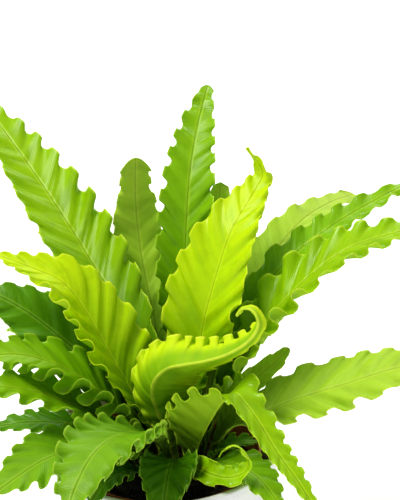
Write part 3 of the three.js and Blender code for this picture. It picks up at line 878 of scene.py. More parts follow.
@dataclass(frozen=True)
class PeatFinish:
    """Damp near-black peat with brown grains and paler fibres."""

    dark: Colour = (0.010, 0.006, 0.0045)
    light: Colour = (0.055, 0.030, 0.018)
    fibre: Colour = (0.11, 0.055, 0.03)

    GRAINS = (320.0, 6.0)
    GRAIN_ROUGHNESS = 0.7
    BROWN = (0.4, 0.75)
    FIBRES = (130.0, 2.0)
    FIBROUS = (0.62, 0.72, (0.0, 0.5))
    DAMPNESS = (90.0, 3.0)
    ROUGHNESS = (0.35, 0.7, (0.62, 0.97))
    RELIEF = (0.0012, 0.9)

    def material(self) -> bpy.types.Material:
        """Builds the material.

        Returns:
            A material that reads the soil's own coordinates.
        """
        n = Nodes("peat")
        grain = n.noise(*self.GRAINS, rough=self.GRAIN_ROUGHNESS)
        colour = n.mix(n.step(grain, *self.BROWN), self.dark, self.light)
        return n.finish(
            Base_Color=n.mix(n.step(n.noise(*self.FIBRES), *self.FIBROUS), colour, self.fibre),
            Roughness=n.step(n.noise(*self.DAMPNESS), *self.ROUGHNESS),
            Normal=n.bump(grain, *self.RELIEF),
        )


@dataclass(frozen=True)
class ScaleFinish:
    """The dark brown felt and papery scales of the rhizome."""

    dark: Colour = (0.016, 0.010, 0.006)
    light: Colour = (0.085, 0.048, 0.022)

    FIBRES = (420.0, 5.0)
    FIBRE_ROUGHNESS = 0.75
    PALE = (0.35, 0.75)
    ROUGHNESS = 0.8
    RELIEF = (0.0008, 0.8)

    def material(self) -> bpy.types.Material:
        """Builds the material.

        Returns:
            A material that reads the crown's own coordinates.
        """
        n = Nodes("rhizome")
        fibre = n.noise(*self.FIBRES, rough=self.FIBRE_ROUGHNESS)
        return n.finish(
            Base_Color=n.mix(n.step(fibre, *self.PALE), self.dark, self.light),
            Roughness=self.ROUGHNESS,
            Normal=n.bump(fibre, *self.RELIEF),
        )


# Fronds

# Width at the tip of a pointed frond, as a share of its greatest width.
SHARP_TIP = 0.05


@dataclass(frozen=True)
class FrondShape:
    """One frond: its place in the rosette, its midrib and the form of its blade, in millimetres.

    Where a value holds several numbers, they go from the frond's base to its tip, except in sides and
    waist.

    name: Name of its node in the frame.
    tone: Its kind of tissue.
    heading: Where it points, in degrees turned left from the right-hand side.
    half_width: Greatest half width of the blade.
    waves: How many folds its margin has.
    ruffle: Height of the folds.
    spine: The midrib's points from the crown's top: out along the heading, up, and left of it.
    roll: How far the blade is turned about its midrib, in degrees.
    cup: How far its two halves are lifted, in degrees.
    belly: Share of its length at which it is widest.
    neck, taper: Powers of the width's rise to the belly and of its fall to the tip.
    curl: How far the folds' steep sides lean over into scrolls at the margin.
    lobes: How far the margin reaches out on a fold's one side and draws in on the other.
    frill: Height that the folds gain in the outermost part of the blade.
    outer: Share that the folds gain past the frond's foot.
    slant: How far the folds slant towards the tip, as a share of the half width.
    crowding: Power that crowds the folds towards the base.
    blunt: Width of the rounded tip, as a share of the greatest width.
    sides: How much of the folds the left and the right half take.
    waist: Share of the width that is lost past the waist, and where the waist is.
    """

    name: str
    tone: Tone
    heading: float
    half_width: float
    waves: int
    ruffle: float
    spine: tuple[tuple[float, float, float], ...]
    roll: tuple[float, ...] = (0.0, 0.0, 0.0)
    cup: tuple[float, ...] = (45.0, 15.0, 5.0)
    belly: float = 0.5
    neck: float = 1.4
    taper: float = 0.75
    curl: tuple[float, float, float] = (2.4, 1.7, 0.9)
    lobes: float = 0.1
    frill: tuple[float, ...] = (0.0,)
    outer: float = 0.3
    slant: float = 1.1
    crowding: float = 1.15
    blunt: float = SHARP_TIP
    sides: Span = (1.0, 1.0)
    waist: Span = (0.0, 0.5)


FRONDS: tuple[FrondShape, ...] = (
    FrondShape(
        "frond_crested", Tone.CREST_LIT_AND_SHADED, 345, 26, 19, 0.8,
        ((0, 0, -6), (-4, 24, -10), (-8, 44, -17), (-10, 60, -23), (-7, 73, -27), (1, 83, -29),
         (12, 88, -30), (24, 91, -28), (37, 96, -25), (48, 104, -22), (53, 113, -18), (49, 120, -14),
         (42, 119, -11), (38, 113, -9)),
        roll=(-82, -86, -106, -98, -95), cup=(5, 15, 50, 66, 45), belly=0.45, neck=2.2, taper=1.25,
        outer=0, slant=0.2, frill=(1.5, 3.8, 3), curl=(1.9, 2.2, 1.7), sides=(0.12, 1),
    ),
    FrondShape(
        "frond_bright_back", Tone.LIME, 52, 27, 13, 3,
        ((5, 0, 0), (13, 50, -1), (22, 90, -2), (34, 117, -2), (50, 143, -2), (74, 160, -1),
         (84, 170, 0), (76, 187, 6)),
        roll=(10, 5, 5), cup=(55, 22, 10), neck=1.8, taper=1.15, frill=(2, 0.5, 1.5), sides=(0.6, 1.2),
    ),
    FrondShape(
        "frond_bright_left", Tone.LIME, 171, 27, 13, 3.3,
        ((7, 2, 0), (26, 40, 0), (42, 72, 0), (56, 100, 0), (70, 120, 0), (90, 129, 0), (118, 138, 0)),
        roll=(-10, -22, -15), cup=(40, 26, 10), belly=0.45, neck=1.7, taper=1.1, frill=(0.5, 0.5, 1),
        sides=(1.1, 0.6),
    ),
    FrondShape(
        "frond_arching", Tone.BRIGHT, 310, 26, 18, 1.2,
        ((14, 0, -2), (20, 22, -3), (27, 36, -4), (34, 50, -3), (41, 63, -1), (50, 72, 1), (60, 69, 1),
         (72, 62, 1), (88, 51, 0), (106, 40, 0), (128, 24, 0)),
        cup=(40, 50, 20, 10, 10), belly=0.3, neck=1.6, taper=0.7, outer=0.1, slant=0.5,
        frill=(4.5, 2.5, 1), curl=(1.9, 1.6, 0.8), waist=(0.55, 0.36),
    ),
    FrondShape(
        "frond_long_left", Tone.BRIGHT, 130, 24, 14, 3.4,
        ((13, 0, 0), (32, 57, 0), (55, 84, 0), (85, 106, 0), (112, 126, 0), (142, 146, 0),
         (177, 167, 0), (212, 186, 0)),
        roll=(-10, -14, -10), cup=(50, 20, 8), neck=1.5, lobes=0.12,
    ),
    FrondShape(
        "frond_tall_back", Tone.GREEN, 86, 18, 16, 2.4,
        ((12, 0, 0), (28, 50, 0), (44, 96, 0), (60, 134, 0), (78, 164, -1), (100, 186, -4),
         (126, 206, -9)),
        cup=(50, 20, 10), taper=0.65, lobes=0.14, blunt=0.28,
    ),
    FrondShape(
        "frond_right_near", Tone.BRIGHT, 9, 21, 14, 3,
        ((11, 0, 0), (24, 35, 0), (40, 70, 0), (64, 108, 0), (98, 138, 0), (132, 149, 0),
         (165, 154, 0)),
        roll=(5, 5, 5), cup=(50, 22, 8), neck=1.5, frill=(2.5, 1, 1), sides=(0.8, 1.1),
    ),
    FrondShape(
        "frond_right_mid", Tone.GREEN, 34, 12, 14, 2.6,
        ((14, 0, 0), (31, 46, -0.4), (51, 88, 0.8), (78, 116, 1), (116, 134, 0), (154, 144, 0),
         (186, 150, 0)),
        roll=(5, 10, 10), cup=(50, 20, 8), belly=0.55, neck=1.6, sides=(0.85, 1.1),
    ),
    FrondShape(
        "frond_right_far", Tone.MATTE, 50, 15.5, 12, 2,
        ((18, 0, 0), (37, 60, 2.2), (62, 92, 1.2), (91, 111, 0), (121, 124, 0), (152, 127, 0),
         (181, 124, 0)),
        roll=(10, 14, 12), cup=(50, 15, 5), belly=0.55, neck=1.8, taper=0.8, blunt=0.45,
        sides=(0.45, 0.9),
    ),
    FrondShape(
        "frond_blunt_back", Tone.MATTE, 106, 19, 12, 1.4,
        ((17, 0, 0), (38, 40, 0), (64, 76, 0), (82, 98, 1), (92, 122, 2), (93, 146, 3), (91, 171, 3)),
        cup=(50, 10, 0), belly=0.6, taper=0.8, lobes=0.07, blunt=0.52,
    ),
    FrondShape(
        "frond_right_flat", Tone.MATTE, 350, 21, 10, 2.8,
        ((14, 0, 0), (31, 28, 0), (55, 44, 0), (76, 55, 0), (100, 66, 0), (130, 80, 0), (165, 91, 0)),
        roll=(0, 20, 20), cup=(45, 10, 5), neck=1.2, lobes=0.07, sides=(0.5, 1.1),
    ),
    FrondShape(
        "frond_left_dark", Tone.DARK, 165, 22, 10, 2.8,
        ((17, 0, 0), (32, 36, 0), (54, 60, 0), (78, 80, 0), (100, 95, 0), (128, 107, 0)),
        roll=(0, -35, -30), cup=(45, 12, 8), belly=0.55, neck=1.7, lobes=0.07, sides=(1, 0.6),
    ),
    FrondShape(
        "frond_left_frilled", Tone.GREEN, 197, 20, 11, 2.2,
        ((15, 0, 0), (25, 22, 0), (40, 46, 0), (55, 65, 0), (75, 82, 0), (99, 93, 0), (126, 95, 0)),
        roll=(0, -12, -20), cup=(25, 12, 8), neck=1.5, frill=(5, 5, 2.5), curl=(3, 3, 1.4),
        sides=(1.15, 0.5),
    ),
    FrondShape(
        "frond_left_ribbed", Tone.GREEN, 207, 20, 9, 2.8,
        ((20, 0, 0), (34, 24, 0), (50, 42, 0), (70, 60, 0), (98, 78, 0), (132, 90, 0)),
        roll=(0, -8, -10), cup=(30, 12, 8), neck=1.7, lobes=0.06, sides=(1, 0.6),
    ),
    FrondShape(
        "frond_left_broad", Tone.DULL, 226, 24, 10, 2.8,
        ((17, 0, 0), (35, 20, 0), (58, 38, 0), (85, 48, 0), (112, 52, 0), (146, 47, 0)),
        roll=(0, -8, -5), cup=(30, 6, 5), belly=0.55, neck=1.8, lobes=0.05, sides=(1.2, 0.5),
    ),
    FrondShape(
        "frond_front_left", Tone.DULL, 246, 23, 14, 1,
        ((12, 0, 0), (24, 24, 0), (42, 43, 0), (66, 59, 0), (92, 69, 0), (115, 71, 0), (134, 63, 0),
         (147, 50, 0)),
        roll=(0, 5, 0), cup=(45, 15, 0), belly=0.6, neck=1.8, taper=0.8, slant=0.8, crowding=1.3,
        frill=(3, 4, 3), curl=(2.2, 2.8, 2),
    ),
    FrondShape(
        "frond_left_small", Tone.DARK, 192, 12, 10, 1.8,
        ((22, 0, 0), (40, 20, 0), (64, 35, 0), (92, 41, 0), (118, 40, 0)),
        roll=(0, -10, -10), cup=(30, 10, 8), neck=1.3, lobes=0.07,
    ),
    FrondShape(
        "frond_front_dark", Tone.DARK, 264, 17, 9, 0.9,
        ((17, 0, 0), (26, 17, 0), (38, 25, 0), (54, 28, 0), (70, 25, 0), (84, 16, 0)),
        roll=(0, 4, 4), cup=(25, 12, 5), belly=0.55, neck=1.9, frill=(3, 4, 2), curl=(2.4, 2.4, 1.2),
    ),
    FrondShape(
        "frond_front_slim", Tone.DARK, 235, 9, 10, 1.6,
        ((20, 0, 0), (36, 12, 0), (56, 22, 0), (76, 25, 0), (94, 14, 0)),
        cup=(40, 12, 5), neck=1.6,
    ),
    FrondShape(
        "frond_curled_young", Tone.BRIGHT, 350, 8, 9, 0.7,
        ((6, 0, -16), (9, 10, -20), (15, 18, -29), (21, 23, -40), (29, 25, -48), (39, 26, -51),
         (48, 30, -51), (51, 37, -50), (47, 44, -48), (40, 45, -46), (35, 40, -44), (32, 34, -42)),
        roll=(0, 35, 20), cup=(25, 20, 10), belly=0.42, taper=1.5, slant=0.4, frill=(1, 1.6, 1),
        curl=(1.2, 1.2, 0.8),
    ),
    FrondShape(
        "frond_right_drooping", Tone.GREEN, 313, 15, 8, 1.3,
        ((18, 0, 0), (28, 11, 0), (42, 20, 0), (58, 23, 0), (74, 20, 0), (90, 9, 0)),
        cup=(20, 10, 5), neck=2, lobes=0.05,
    ),
    FrondShape(
        "frond_right_short", Tone.DARK, 354, 9, 6, 1.1,
        ((19, 0, 0), (27, 11, 0), (38, 17, 0), (49, 18, 0)),
        cup=(5, 12, 10), belly=0.55, neck=2.2,
    ),
    FrondShape(
        "frond_front_short", Tone.DARK, 330, 5.5, 7, 1,
        ((20, 0, 0), (24, 12, 0), (31, 20, 0), (40, 23, 0)),
        cup=(5, 12, 10), belly=0.55, neck=2.6,
    ),
    FrondShape(
        "frond_back_slim", Tone.MATTE, 73, 11, 9, 1.8,
        ((15, 0, 0), (38, 48, 0), (61, 90, 0.6), (77, 121, 0), (89, 155, 0)),
        belly=0.62, neck=1.8, taper=0.35, blunt=0.3,
    ),
    FrondShape(
        "frond_right_blunt", Tone.MATTE, 20, 9, 6, 1.4,
        ((18, 0, 0), (34, 32, 0), (52, 51, 0), (64, 60, 0), (73, 68, 0)),
        roll=(10, 20, 20), belly=0.6, neck=1.8, taper=0.6, lobes=0.05, blunt=0.4, sides=(0.5, 0.5),
    ),
    FrondShape(
        "frond_back_low_middle", Tone.GREEN, 104, 20, 12, 3.2,
        ((21, 0, 0), (42, 30, 0), (68, 48, 0), (98, 56, 0), (132, 54, 0), (158, 42, 0)),
    ),
    FrondShape(
        "frond_back_low_left", Tone.GREEN, 144, 20, 11, 3.2,
        ((19, 0, 0), (38, 30, 0), (64, 50, 0), (92, 60, 0), (120, 60, 0), (142, 50, 0)),
    ),
    FrondShape(
        "frond_back_low_right", Tone.GREEN, 61, 18, 11, 3,
        ((20, 0, 0), (42, 28, 0), (68, 45, 0), (96, 52, 0), (122, 48, 0), (140, 38, 0)),
        neck=1.5,
    ),
    FrondShape(
        "frond_back_lowest", Tone.DARK, 84, 16, 11, 2.8,
        ((21, 0, 0), (43, 19, 0), (68, 30, 0), (96, 32, 0), (122, 22, 0)),
        neck=1.6,
    ),
)


class Midrib:
    """The curve that a frond's blade is laid along."""

    # How far the stem's foot goes down into the crown, and the number of samples along the curve.
    ROOT_DEPTH = 6.0
    SAMPLES = 1600

    def __init__(self, shape: FrondShape) -> None:
        """Lays a Catmull-Rom curve through the spine.

        Each span from b to c, with a before b and d after c, is the cubic that starts at b with slope
        (c - a) / 2 and ends at c with slope (d - b) / 2. Past the ends a point is mirrored. The first
        point goes down by ROOT_DEPTH into the crown.

        Args:
            shape: The frond.
        """
        heading = math.radians(shape.heading)
        outward = np.array([math.cos(heading), math.sin(heading), 0.0])
        self.side = np.array([-math.sin(heading), math.cos(heading), 0.0])
        spine = np.array(shape.spine, float)
        points = np.array(CROWN_CENTRE) + spine[:, :1] * outward + spine[:, 2:] * self.side
        points[:, 2] += spine[:, 1]
        points[0, 2] -= self.ROOT_DEPTH
        padded = np.vstack([2 * points[0] - points[1], points, 2 * points[-1] - points[-2]])
        span = np.linspace(0, len(points) - 1, self.SAMPLES)
        i = np.minimum(span.astype(int), len(points) - 2)
        x = (span - i)[:, None]
        a, b, c, d = padded[i], padded[i + 1], padded[i + 2], padded[i + 3]
        leave, arrive = (c - a) / 2, (d - b) / 2
        bend, lift = -3 * b + 3 * c - 2 * leave - arrive, 2 * b - 2 * c + leave + arrive
        self.points = b + leave * x + bend * x**2 + lift * x**3
        self.tangents = unit(leave + 2 * bend * x + 3 * lift * x**2)
        run = np.linalg.norm(np.diff(self.points, axis=0), axis=1)
        travelled = np.concatenate([[0.0], np.cumsum(run)])
        self.length = float(travelled[-1])
        self.share = travelled / self.length

    def at(self, t: Array) -> tuple[Array, Array]:
        """Reads the curve between its samples, in a straight line from one to the next.

        Args:
            t: Shares of the length.

        Returns:
            The points and the unit tangents there.
        """
        points = np.stack([np.interp(t, self.share, self.points[:, k]) for k in range(3)], -1)
        tangents = np.stack([np.interp(t, self.share, self.tangents[:, k]) for k in range(3)], -1)
        return points, unit(tangents)


class Frond:
    """The fine blade of one frond, of the same form as its solid in the frame."""

    # The stem's half width, and what each millimetre of the blade's half width adds to it.
    STEM_HALF_WIDTH = 1.5
    STEM_SHARE = 0.07
    # Shares of the length where the folds, their outer gain and the waist begin and how long they rise.
    FLAT_START, FLAT_LENGTH = 0.04, 0.09
    OUTER_START, OUTER_LENGTH = 0.22, 0.3
    WAIST_LENGTH = 0.22
    # Slow waves, as a height and a number of turns over the blade: two that shift the folds along the
    # midrib, two that change the folds' height, and one that changes their spacing.
    DRIFT = (0.01, 1.3)
    SMALL_DRIFT = (0.005, 3.7)
    SWELL = (0.3, 1.7)
    SMALL_SWELL = (0.25, 4.3)
    SPACING = (0.6, 2.6)
    # Share of a fold's height beside the midrib, and what it gains past the foot.
    INNER_WAVE = 0.25
    OUTER_FOLD = 0.2
    # Powers of the distance from the midrib in the cup, the folds, the frill, the lobes, the scrolls
    # and the rounded tip, and the power of the length in the last.
    CUP_POWER = 1.6
    FOLD_POWER = 3
    FRILL_POWER = 6
    LOBE_POWER = 3
    CURL_POWER = 4
    END_REACH = 2
    END_POWER = 6
    # Powers of the blade's width in the folds, the frill and the scrolls.
    RUFFLE_WIDTH = 0.7
    FRILL_WIDTH = 0.5
    CURL_WIDTH = 0.4
    # How much a lobe leans to one side.
    LOBE_LEAN = 0.35
    # Thickness of the stem, of the blade beside the midrib and of its rim, and how fast the stem's
    # thickness fades along the frond and over its rounded section.
    STEM_THICKNESS = 2.2
    BLADE_THICKNESS = 0.75
    RIM_THICKNESS = 0.42
    STEM_FADE = 12
    STEM_ROUNDING = 0.8
    # Height and half width of the midrib's keel and of its groove. Both are full where the blade's half
    # width is FULL_RIB_WIDTH or more, and the keel's last part is as low as KEEL_END less t.
    KEEL, KEEL_WIDTH = 1.3, 1.1
    GROOVE, GROOVE_WIDTH = 0.32, 0.55
    FULL_RIB_WIDTH = 8
    KEEL_END = 1.15
    # Rows of points to a fold, and the columns' shares of the half width.
    STEPS_PER_WAVE = 12
    ACROSS = (0.02, 0.045, 0.08, 0.13, 0.2, 0.28, 0.37, 0.46, 0.55, 0.64, 0.72, 0.79, 0.85, 0.9, 0.94,
              0.972, 1.0)

    def __init__(self, shape: FrondShape) -> None:
        """Lays the midrib of a frond.

        Args:
            shape: The frond.
        """
        self.shape = shape
        self.rib = Midrib(shape)

    def width(self, t: Array) -> Array:
        """Half width of the blade.

        Up to the belly it is the stem's half width plus the rest times smooth(t / belly) to the power
        neck. Past it, it is the full half width times the sine of a quarter turn times
        ((1 - t) / (1 - belly)) to the power taper, or times blunt where that is more. Past the waist,
        the waist's share is taken off it over a smooth step.

        Args:
            t: Shares of the midrib's length.

        Returns:
            The half width at each.
        """
        s = self.shape
        stem = self.STEM_HALF_WIDTH + self.STEM_SHARE * s.half_width
        rise = stem + (s.half_width - stem) * smooth(t / s.belly) ** s.neck
        fall = np.clip((1 - t) / (1 - s.belly), 0, 1) ** s.taper
        fall = s.half_width * np.maximum(np.sin(np.pi / 2 * fall), s.blunt)
        lost, start = s.waist
        return np.where(t <= s.belly, rise, fall) * (1 - lost * smooth((t - start) / self.WAIST_LENGTH))

    def slow(self, wave: Span, u: Array, start: Array | float = 1.0) -> Array:
        """A slow wave: its height times the sine of its turns over the blade, started at the heading."""
        height, turns = wave
        return height * np.sin(2 * np.pi * turns * u + start * self.shape.heading)

    def places(self, u: Array, reach: Array) -> Array:
        """Where on the midrib each point of the blade stands.

        It is u to the power crowding, plus the slow drifts and the slant times reach, which both swell
        by sin(pi u) and vanish at the ends, less the rounding of a blunt tip: its width past that of a
        sharp one, times reach squared and u to the sixth.

        Args:
            u: Places along the blade, as a column.
            reach: Distances from the midrib, as shares of the half width.

        Returns:
            Shares of the midrib's length, held between 0 and 1.
        """
        s = self.shape
        swell = np.maximum(np.sin(np.pi * u), 0)
        drift = (self.slow(self.DRIFT, u) + self.slow(self.SMALL_DRIFT, u, 2)) * swell
        slant = s.slant * s.half_width / self.rib.length
        end = (s.blunt - SHARP_TIP) * s.half_width / self.rib.length
        rounding = end * reach**self.END_REACH * u**self.END_POWER
        return np.clip(u**s.crowding + drift + slant * reach * swell - rounding, 0, 1)

    def surface(self, u: Array, v: Array) -> dict[str, Array]:
        """The blade's middle surface.

        A point stands on the midrib at the share t that places() gives. Across the midrib it lies at v
        times the half width, lifted by the sine of the cup times |v|^1.6. The folds add a wave of
        sin(2 pi waves u), square to the cupped half, that is opposite on the two halves and as strong
        as sides says. Its height is the ruffle times a spread from a low share beside the midrib to 1
        at the margin, plus the frill times |v|^6. The lobes stretch v by |v|^3 times the wave. Near the
        margin the blade also slides along the rib by -curl |v|^4 sin(2 phase), which leans the wave's
        steep sides over into scrolls. All of it fades out on the stem.

        Args:
            u: Places along the blade, as a column.
            v: Places across it, from -1 to 1, as a row.

        Returns:
            The points, and t, the half width, the distance from the midrib in millimetres and its share
            of the half width at each.
        """
        s = self.shape
        reach = np.abs(v) + 0 * u
        half = np.sign(v) + 0 * u
        t = self.places(u, reach)
        middle, along = self.rib.at(t)
        across = unit(self.rib.side - (along @ self.rib.side)[..., None] * along)
        up = np.cross(along, across)
        roll = np.radians(blend(s.roll, t))[..., None]
        left = across * np.cos(roll) + up * np.sin(roll)
        face = up * np.cos(roll) - across * np.sin(roll)
        width = self.width(t)
        share = width / s.half_width
        opening = smooth((t - self.FLAT_START) / self.FLAT_LENGTH)
        cup = np.radians(blend(s.cup, t)) * opening
        outer = smooth((t - self.OUTER_START) / self.OUTER_LENGTH)
        uneven = 1 + self.slow(self.SWELL, u, half) + self.slow(self.SMALL_SWELL, u, 2 * half)
        height = s.ruffle * share**self.RUFFLE_WIDTH * uneven * opening * (1 + s.outer * outer)
        frill = blend(s.frill, t) * share**self.FRILL_WIDTH * opening
        inner = self.INNER_WAVE + self.OUTER_FOLD * outer
        spread = inner * reach + (1 - inner) * reach**self.FOLD_POWER
        phase = 2 * np.pi * s.waves * u + s.heading + half + self.slow(self.SPACING, u, 3 * half)
        wave = np.sin(phase) * half * np.where(half > 0, s.sides[0], s.sides[1])
        scroll = np.sin(2 * phase)
        fold = (height * spread + frill * reach**self.FRILL_POWER) * wave
        lift = width * reach**self.CUP_POWER * np.sin(cup) + fold * np.cos(cup)
        slide = -blend(s.curl, t) * reach**self.CURL_POWER * scroll * share**self.CURL_WIDTH * opening
        lobe = wave + self.LOBE_LEAN * np.abs(wave) * np.sin(2 * phase + 1)
        lobed = 1 + s.lobes * reach**self.LOBE_POWER * lobe * opening
        points = middle + left * (width * v * lobed * np.cos(cup) - half * fold * np.sin(cup))[..., None]
        points = points + face * lift[..., None] + along * slide[..., None]
        return {"points": points, "t": t, "width": width, "off_rib": width * v, "reach": reach}

    def build(self, material: bpy.types.Material) -> Piece:
        """Builds the blade as one closed thin body.

        Both faces stand off the middle surface along its normal by half the thickness, which thins
        towards the rim and thickens to the stem. A keel of KEEL exp(-(d / KEEL_WIDTH)^2) stands out under
        the midrib and a groove of the same form runs above it, d being the distance from the midrib.
        Each row of points is a loop: the upper face, one rim, the lower face and the other rim.

        Args:
            material: The leaf's finish.

        Returns:
            The piece.
        """
        rows = self.shape.waves * self.STEPS_PER_WAVE + 1
        u = np.linspace(0, 1, rows)[:, None]
        half = np.array(self.ACROSS)
        v = np.concatenate([-half[::-1], [0.0], half])[None, :]
        found = self.surface(u, v)
        points, off, reach = found["points"], found["off_rib"], found["reach"]
        normal = unit(np.cross(np.gradient(points, axis=0), np.gradient(points, axis=1)))
        fade = (1 - u**self.shape.crowding) ** self.STEM_FADE
        blade = self.BLADE_THICKNESS + (self.RIM_THICKNESS - self.BLADE_THICKNESS) * reach**2
        round_stem = np.sqrt(1 - self.STEM_ROUNDING * reach**2)
        stem = (self.STEM_THICKNESS - self.BLADE_THICKNESS) * fade * round_stem
        thick = (blade + stem) / 2
        full = np.clip(found["width"] / self.FULL_RIB_WIDTH, 0, 1)
        ease = np.clip(self.KEEL_END - found["t"], 0, 1) * full
        keel = self.KEEL * ease * np.exp(-((off / self.KEEL_WIDTH) ** 2))
        groove = self.GROOVE * full * np.exp(-((off / self.GROOVE_WIDTH) ** 2))
        upper = points + normal * (thick - groove)[..., None]
        under = points - normal * (thick + keel)[..., None]
        out = unit(points[:, [0, -1]] - points[:, [1, -2]]) * self.RIM_THICKNESS / 2
        rim = points[:, [0, -1]] + out
        loop = np.concatenate([upper, rim[:, 1:], under[:, ::-1], rim[:, :1]], 1)
        piece = mesh_piece(self.shape.name + "_blade", loop, self.faces(rows, v.shape[1]))
        self.map_out(piece, found, u)
        return fit_out(piece, material, self.shape.tone.slot, self.shape.name)

    def faces(self, rows: int, columns: int) -> list[Sequence[int]]:
        """The faces of the blade's loops of points, with a strip of quads over each end.

        Args:
            rows: Number of loops.
            columns: Number of points on each face of a loop.

        Returns:
            The point numbers of each face.
        """
        count = 2 * columns + 2
        found = grid_faces(rows, count).tolist()
        for row, turn in ((0, 1), (rows - 1, -1)):
            start = row * count
            for j in range(columns - 1):
                strip = (j, j + 1, 2 * columns - 1 - j, 2 * columns - j)
                found.append(tuple(start + k for k in strip)[::turn])
            found.append((start + columns - 1, start + columns, start + columns + 1)[::turn])
            found.append((start + 2 * columns + 1, start, start + 2 * columns)[::turn])
        return found

    def map_out(self, piece: Piece, found: dict[str, Array], u: Array) -> None:
        """Stores the blade's map and its attributes along, reach and side.

        Args:
            piece: The blade.
            found: What surface() gave for it.
            u: The rows' places along the blade.
        """

        def looped(values: Array) -> Array:
            """Values of the middle surface, laid round each row's loop of points."""
            return np.concatenate([values, values[:, -1:], values[:, ::-1], values[:, :1]], 1)

        rows, columns = found["t"].shape
        length = u * self.rib.length + 0 * found["t"]
        side = np.full((rows, 2 * columns + 2), Face.UPPER.value)
        side[:, columns + 1 : 2 * columns + 1] = Face.UNDER.value
        side[:, [columns, -1]] = Face.RIM.value
        set_map(piece, BLADE_MAP, np.stack([looped(length), looped(found["off_rib"])], -1) * MM * MAP_UNITS)
        set_values(piece, "along", looped(found["t"]))
        set_values(piece, "reach", looped(found["reach"]))
        set_values(piece, "side", side)


class Rosette:
    """All fronds of the plant."""

    def __init__(self, shapes: Sequence[FrondShape]) -> None:
        """Lays each frond's midrib.

        Args:
            shapes: The fronds.
        """
        self.fronds = [Frond(shape) for shape in shapes]

    def build(self) -> list[Piece]:
        """Builds each frond with the finish of its tone."""
        materials = {finish.tone: finish.material() for finish in LEAF_FINISHES}
        return [frond.build(materials[frond.shape.tone]) for frond in self.fronds]


# Pots and what fills them


@dataclass(frozen=True)
class Planter:
    """The plain white outer pot, in millimetres; each edge, and hollow, is the rounding of a corner."""

    height: float = 122.0
    rim_radius: float = 74.0
    foot_radius: float = 66.0
    wall: float = 4.0
    floor: float = 6.0
    edge: float = 1.9
    foot_edge: float = 1.4
    hollow: float = 5.0
    segments: int = 160
    spacing: float = 6.0

    def build(self) -> Piece:
        """Turns the wall's rounded profile.

        Returns:
            The glazed pot.
        """
        profile = filled(rounded([
            (AXIS_RING, 0.0, 0.0),
            (self.foot_radius, 0.0, self.foot_edge),
            (self.rim_radius, self.height, self.edge),
            (self.rim_radius - self.wall, self.height, self.edge),
            (self.foot_radius - self.wall, self.floor, self.hollow),
            (AXIS_RING, self.floor, 0.0),
        ]), self.spacing)
        piece = turned("planter_body", profile, self.segments)
        return fit_out(piece, GlazeFinish().material(), "planter_white", "planter")


@dataclass(frozen=True)
class NurseryPot:
    """The plastic pot that the fern grows in, standing loose in the planter, in millimetres.

    band is the height of the rim's band and step how far it stands out. The drain holes lie on
    drain_circle, and the drums that cut them reach drum_reach past both faces of the floor. Each edge is
    the rounding of a corner.
    """

    offset: float = 2.0
    base: float = 6.3
    rim_height: float = 114.0
    rim_radius: float = 60.0
    band: float = 10.0
    step: float = 2.0
    foot_radius: float = 43.0
    wall: float = 1.5
    floor: float = 2.0
    drain_radius: float = 5.0
    drain_circle: float = 26.0
    drains: int = 4
    drum_reach: float = 3.0
    drum_segments: int = 24
    foot_edge: float = 1.2
    step_edge: float = 0.4
    band_edge: float = 0.5
    rim_edge: float = 0.7
    inner_step_edge: float = 0.6
    inner_foot_edge: float = 1.0
    segments: int = 144
    spacing: float = 6.0

    def inside(self, height: float) -> float:
        """Inner radius of the tapered wall at a height."""
        share = (height - self.base) / (self.rim_height - self.band - self.base)
        return self.foot_radius + (self.rim_radius - self.step - self.foot_radius) * share - self.wall

    def build(self) -> Piece:
        """Turns the thin wall with its rim's band and cuts the drain holes.

        Returns:
            The pot of red plastic.
        """
        band = self.rim_height - self.band
        inner_base = self.base + self.floor
        profile = filled(rounded([
            (AXIS_RING, self.base, 0.0),
            (self.foot_radius, self.base, self.foot_edge),
            (self.rim_radius - self.step, band, self.step_edge),
            (self.rim_radius, band, self.band_edge),
            (self.rim_radius, self.rim_height, self.rim_edge),
            (self.rim_radius - self.wall, self.rim_height, self.rim_edge),
            (self.inside(band), band, self.inner_step_edge),
            (self.inside(inner_base), inner_base, self.inner_foot_edge),
            (AXIS_RING, inner_base, 0.0),
        ]), self.spacing)
        piece = turned("nursery_pot_body", profile, self.segments, (self.offset, 0.0))
        fit_out(piece, PlasticFinish().material(), "nursery_plastic", "nursery_pot")
        for angle in round_angles(self.drains):
            self.drill(piece, angle)
        return piece

    def drill(self, piece: Piece, angle: float) -> None:
        """Cuts one drain hole through the floor with a short drum.

        Args:
            piece: The pot.
            angle: Where the hole lies on the drain circle.
        """
        low, high = self.base - self.drum_reach, self.base + self.floor + self.drum_reach
        profile = np.array([
            (AXIS_RING, low), (self.drain_radius, low), (self.drain_radius, high), (AXIS_RING, high),
        ])
        centre = (self.offset + self.drain_circle * math.cos(angle), self.drain_circle * math.sin(angle))
        drum = turned("drain_drum", profile, self.drum_segments, centre)
        cut = piece.modifiers.new("drain", "BOOLEAN")
        cut.object = drum
        cut.operation = "DIFFERENCE"
        cut.solver = "EXACT"
        depsgraph = bpy.context.evaluated_depsgraph_get()
        made = bpy.data.meshes.new_from_object(piece.evaluated_get(depsgraph))
        piece.modifiers.clear()
        piece.data = made
        bpy.data.objects.remove(drum)


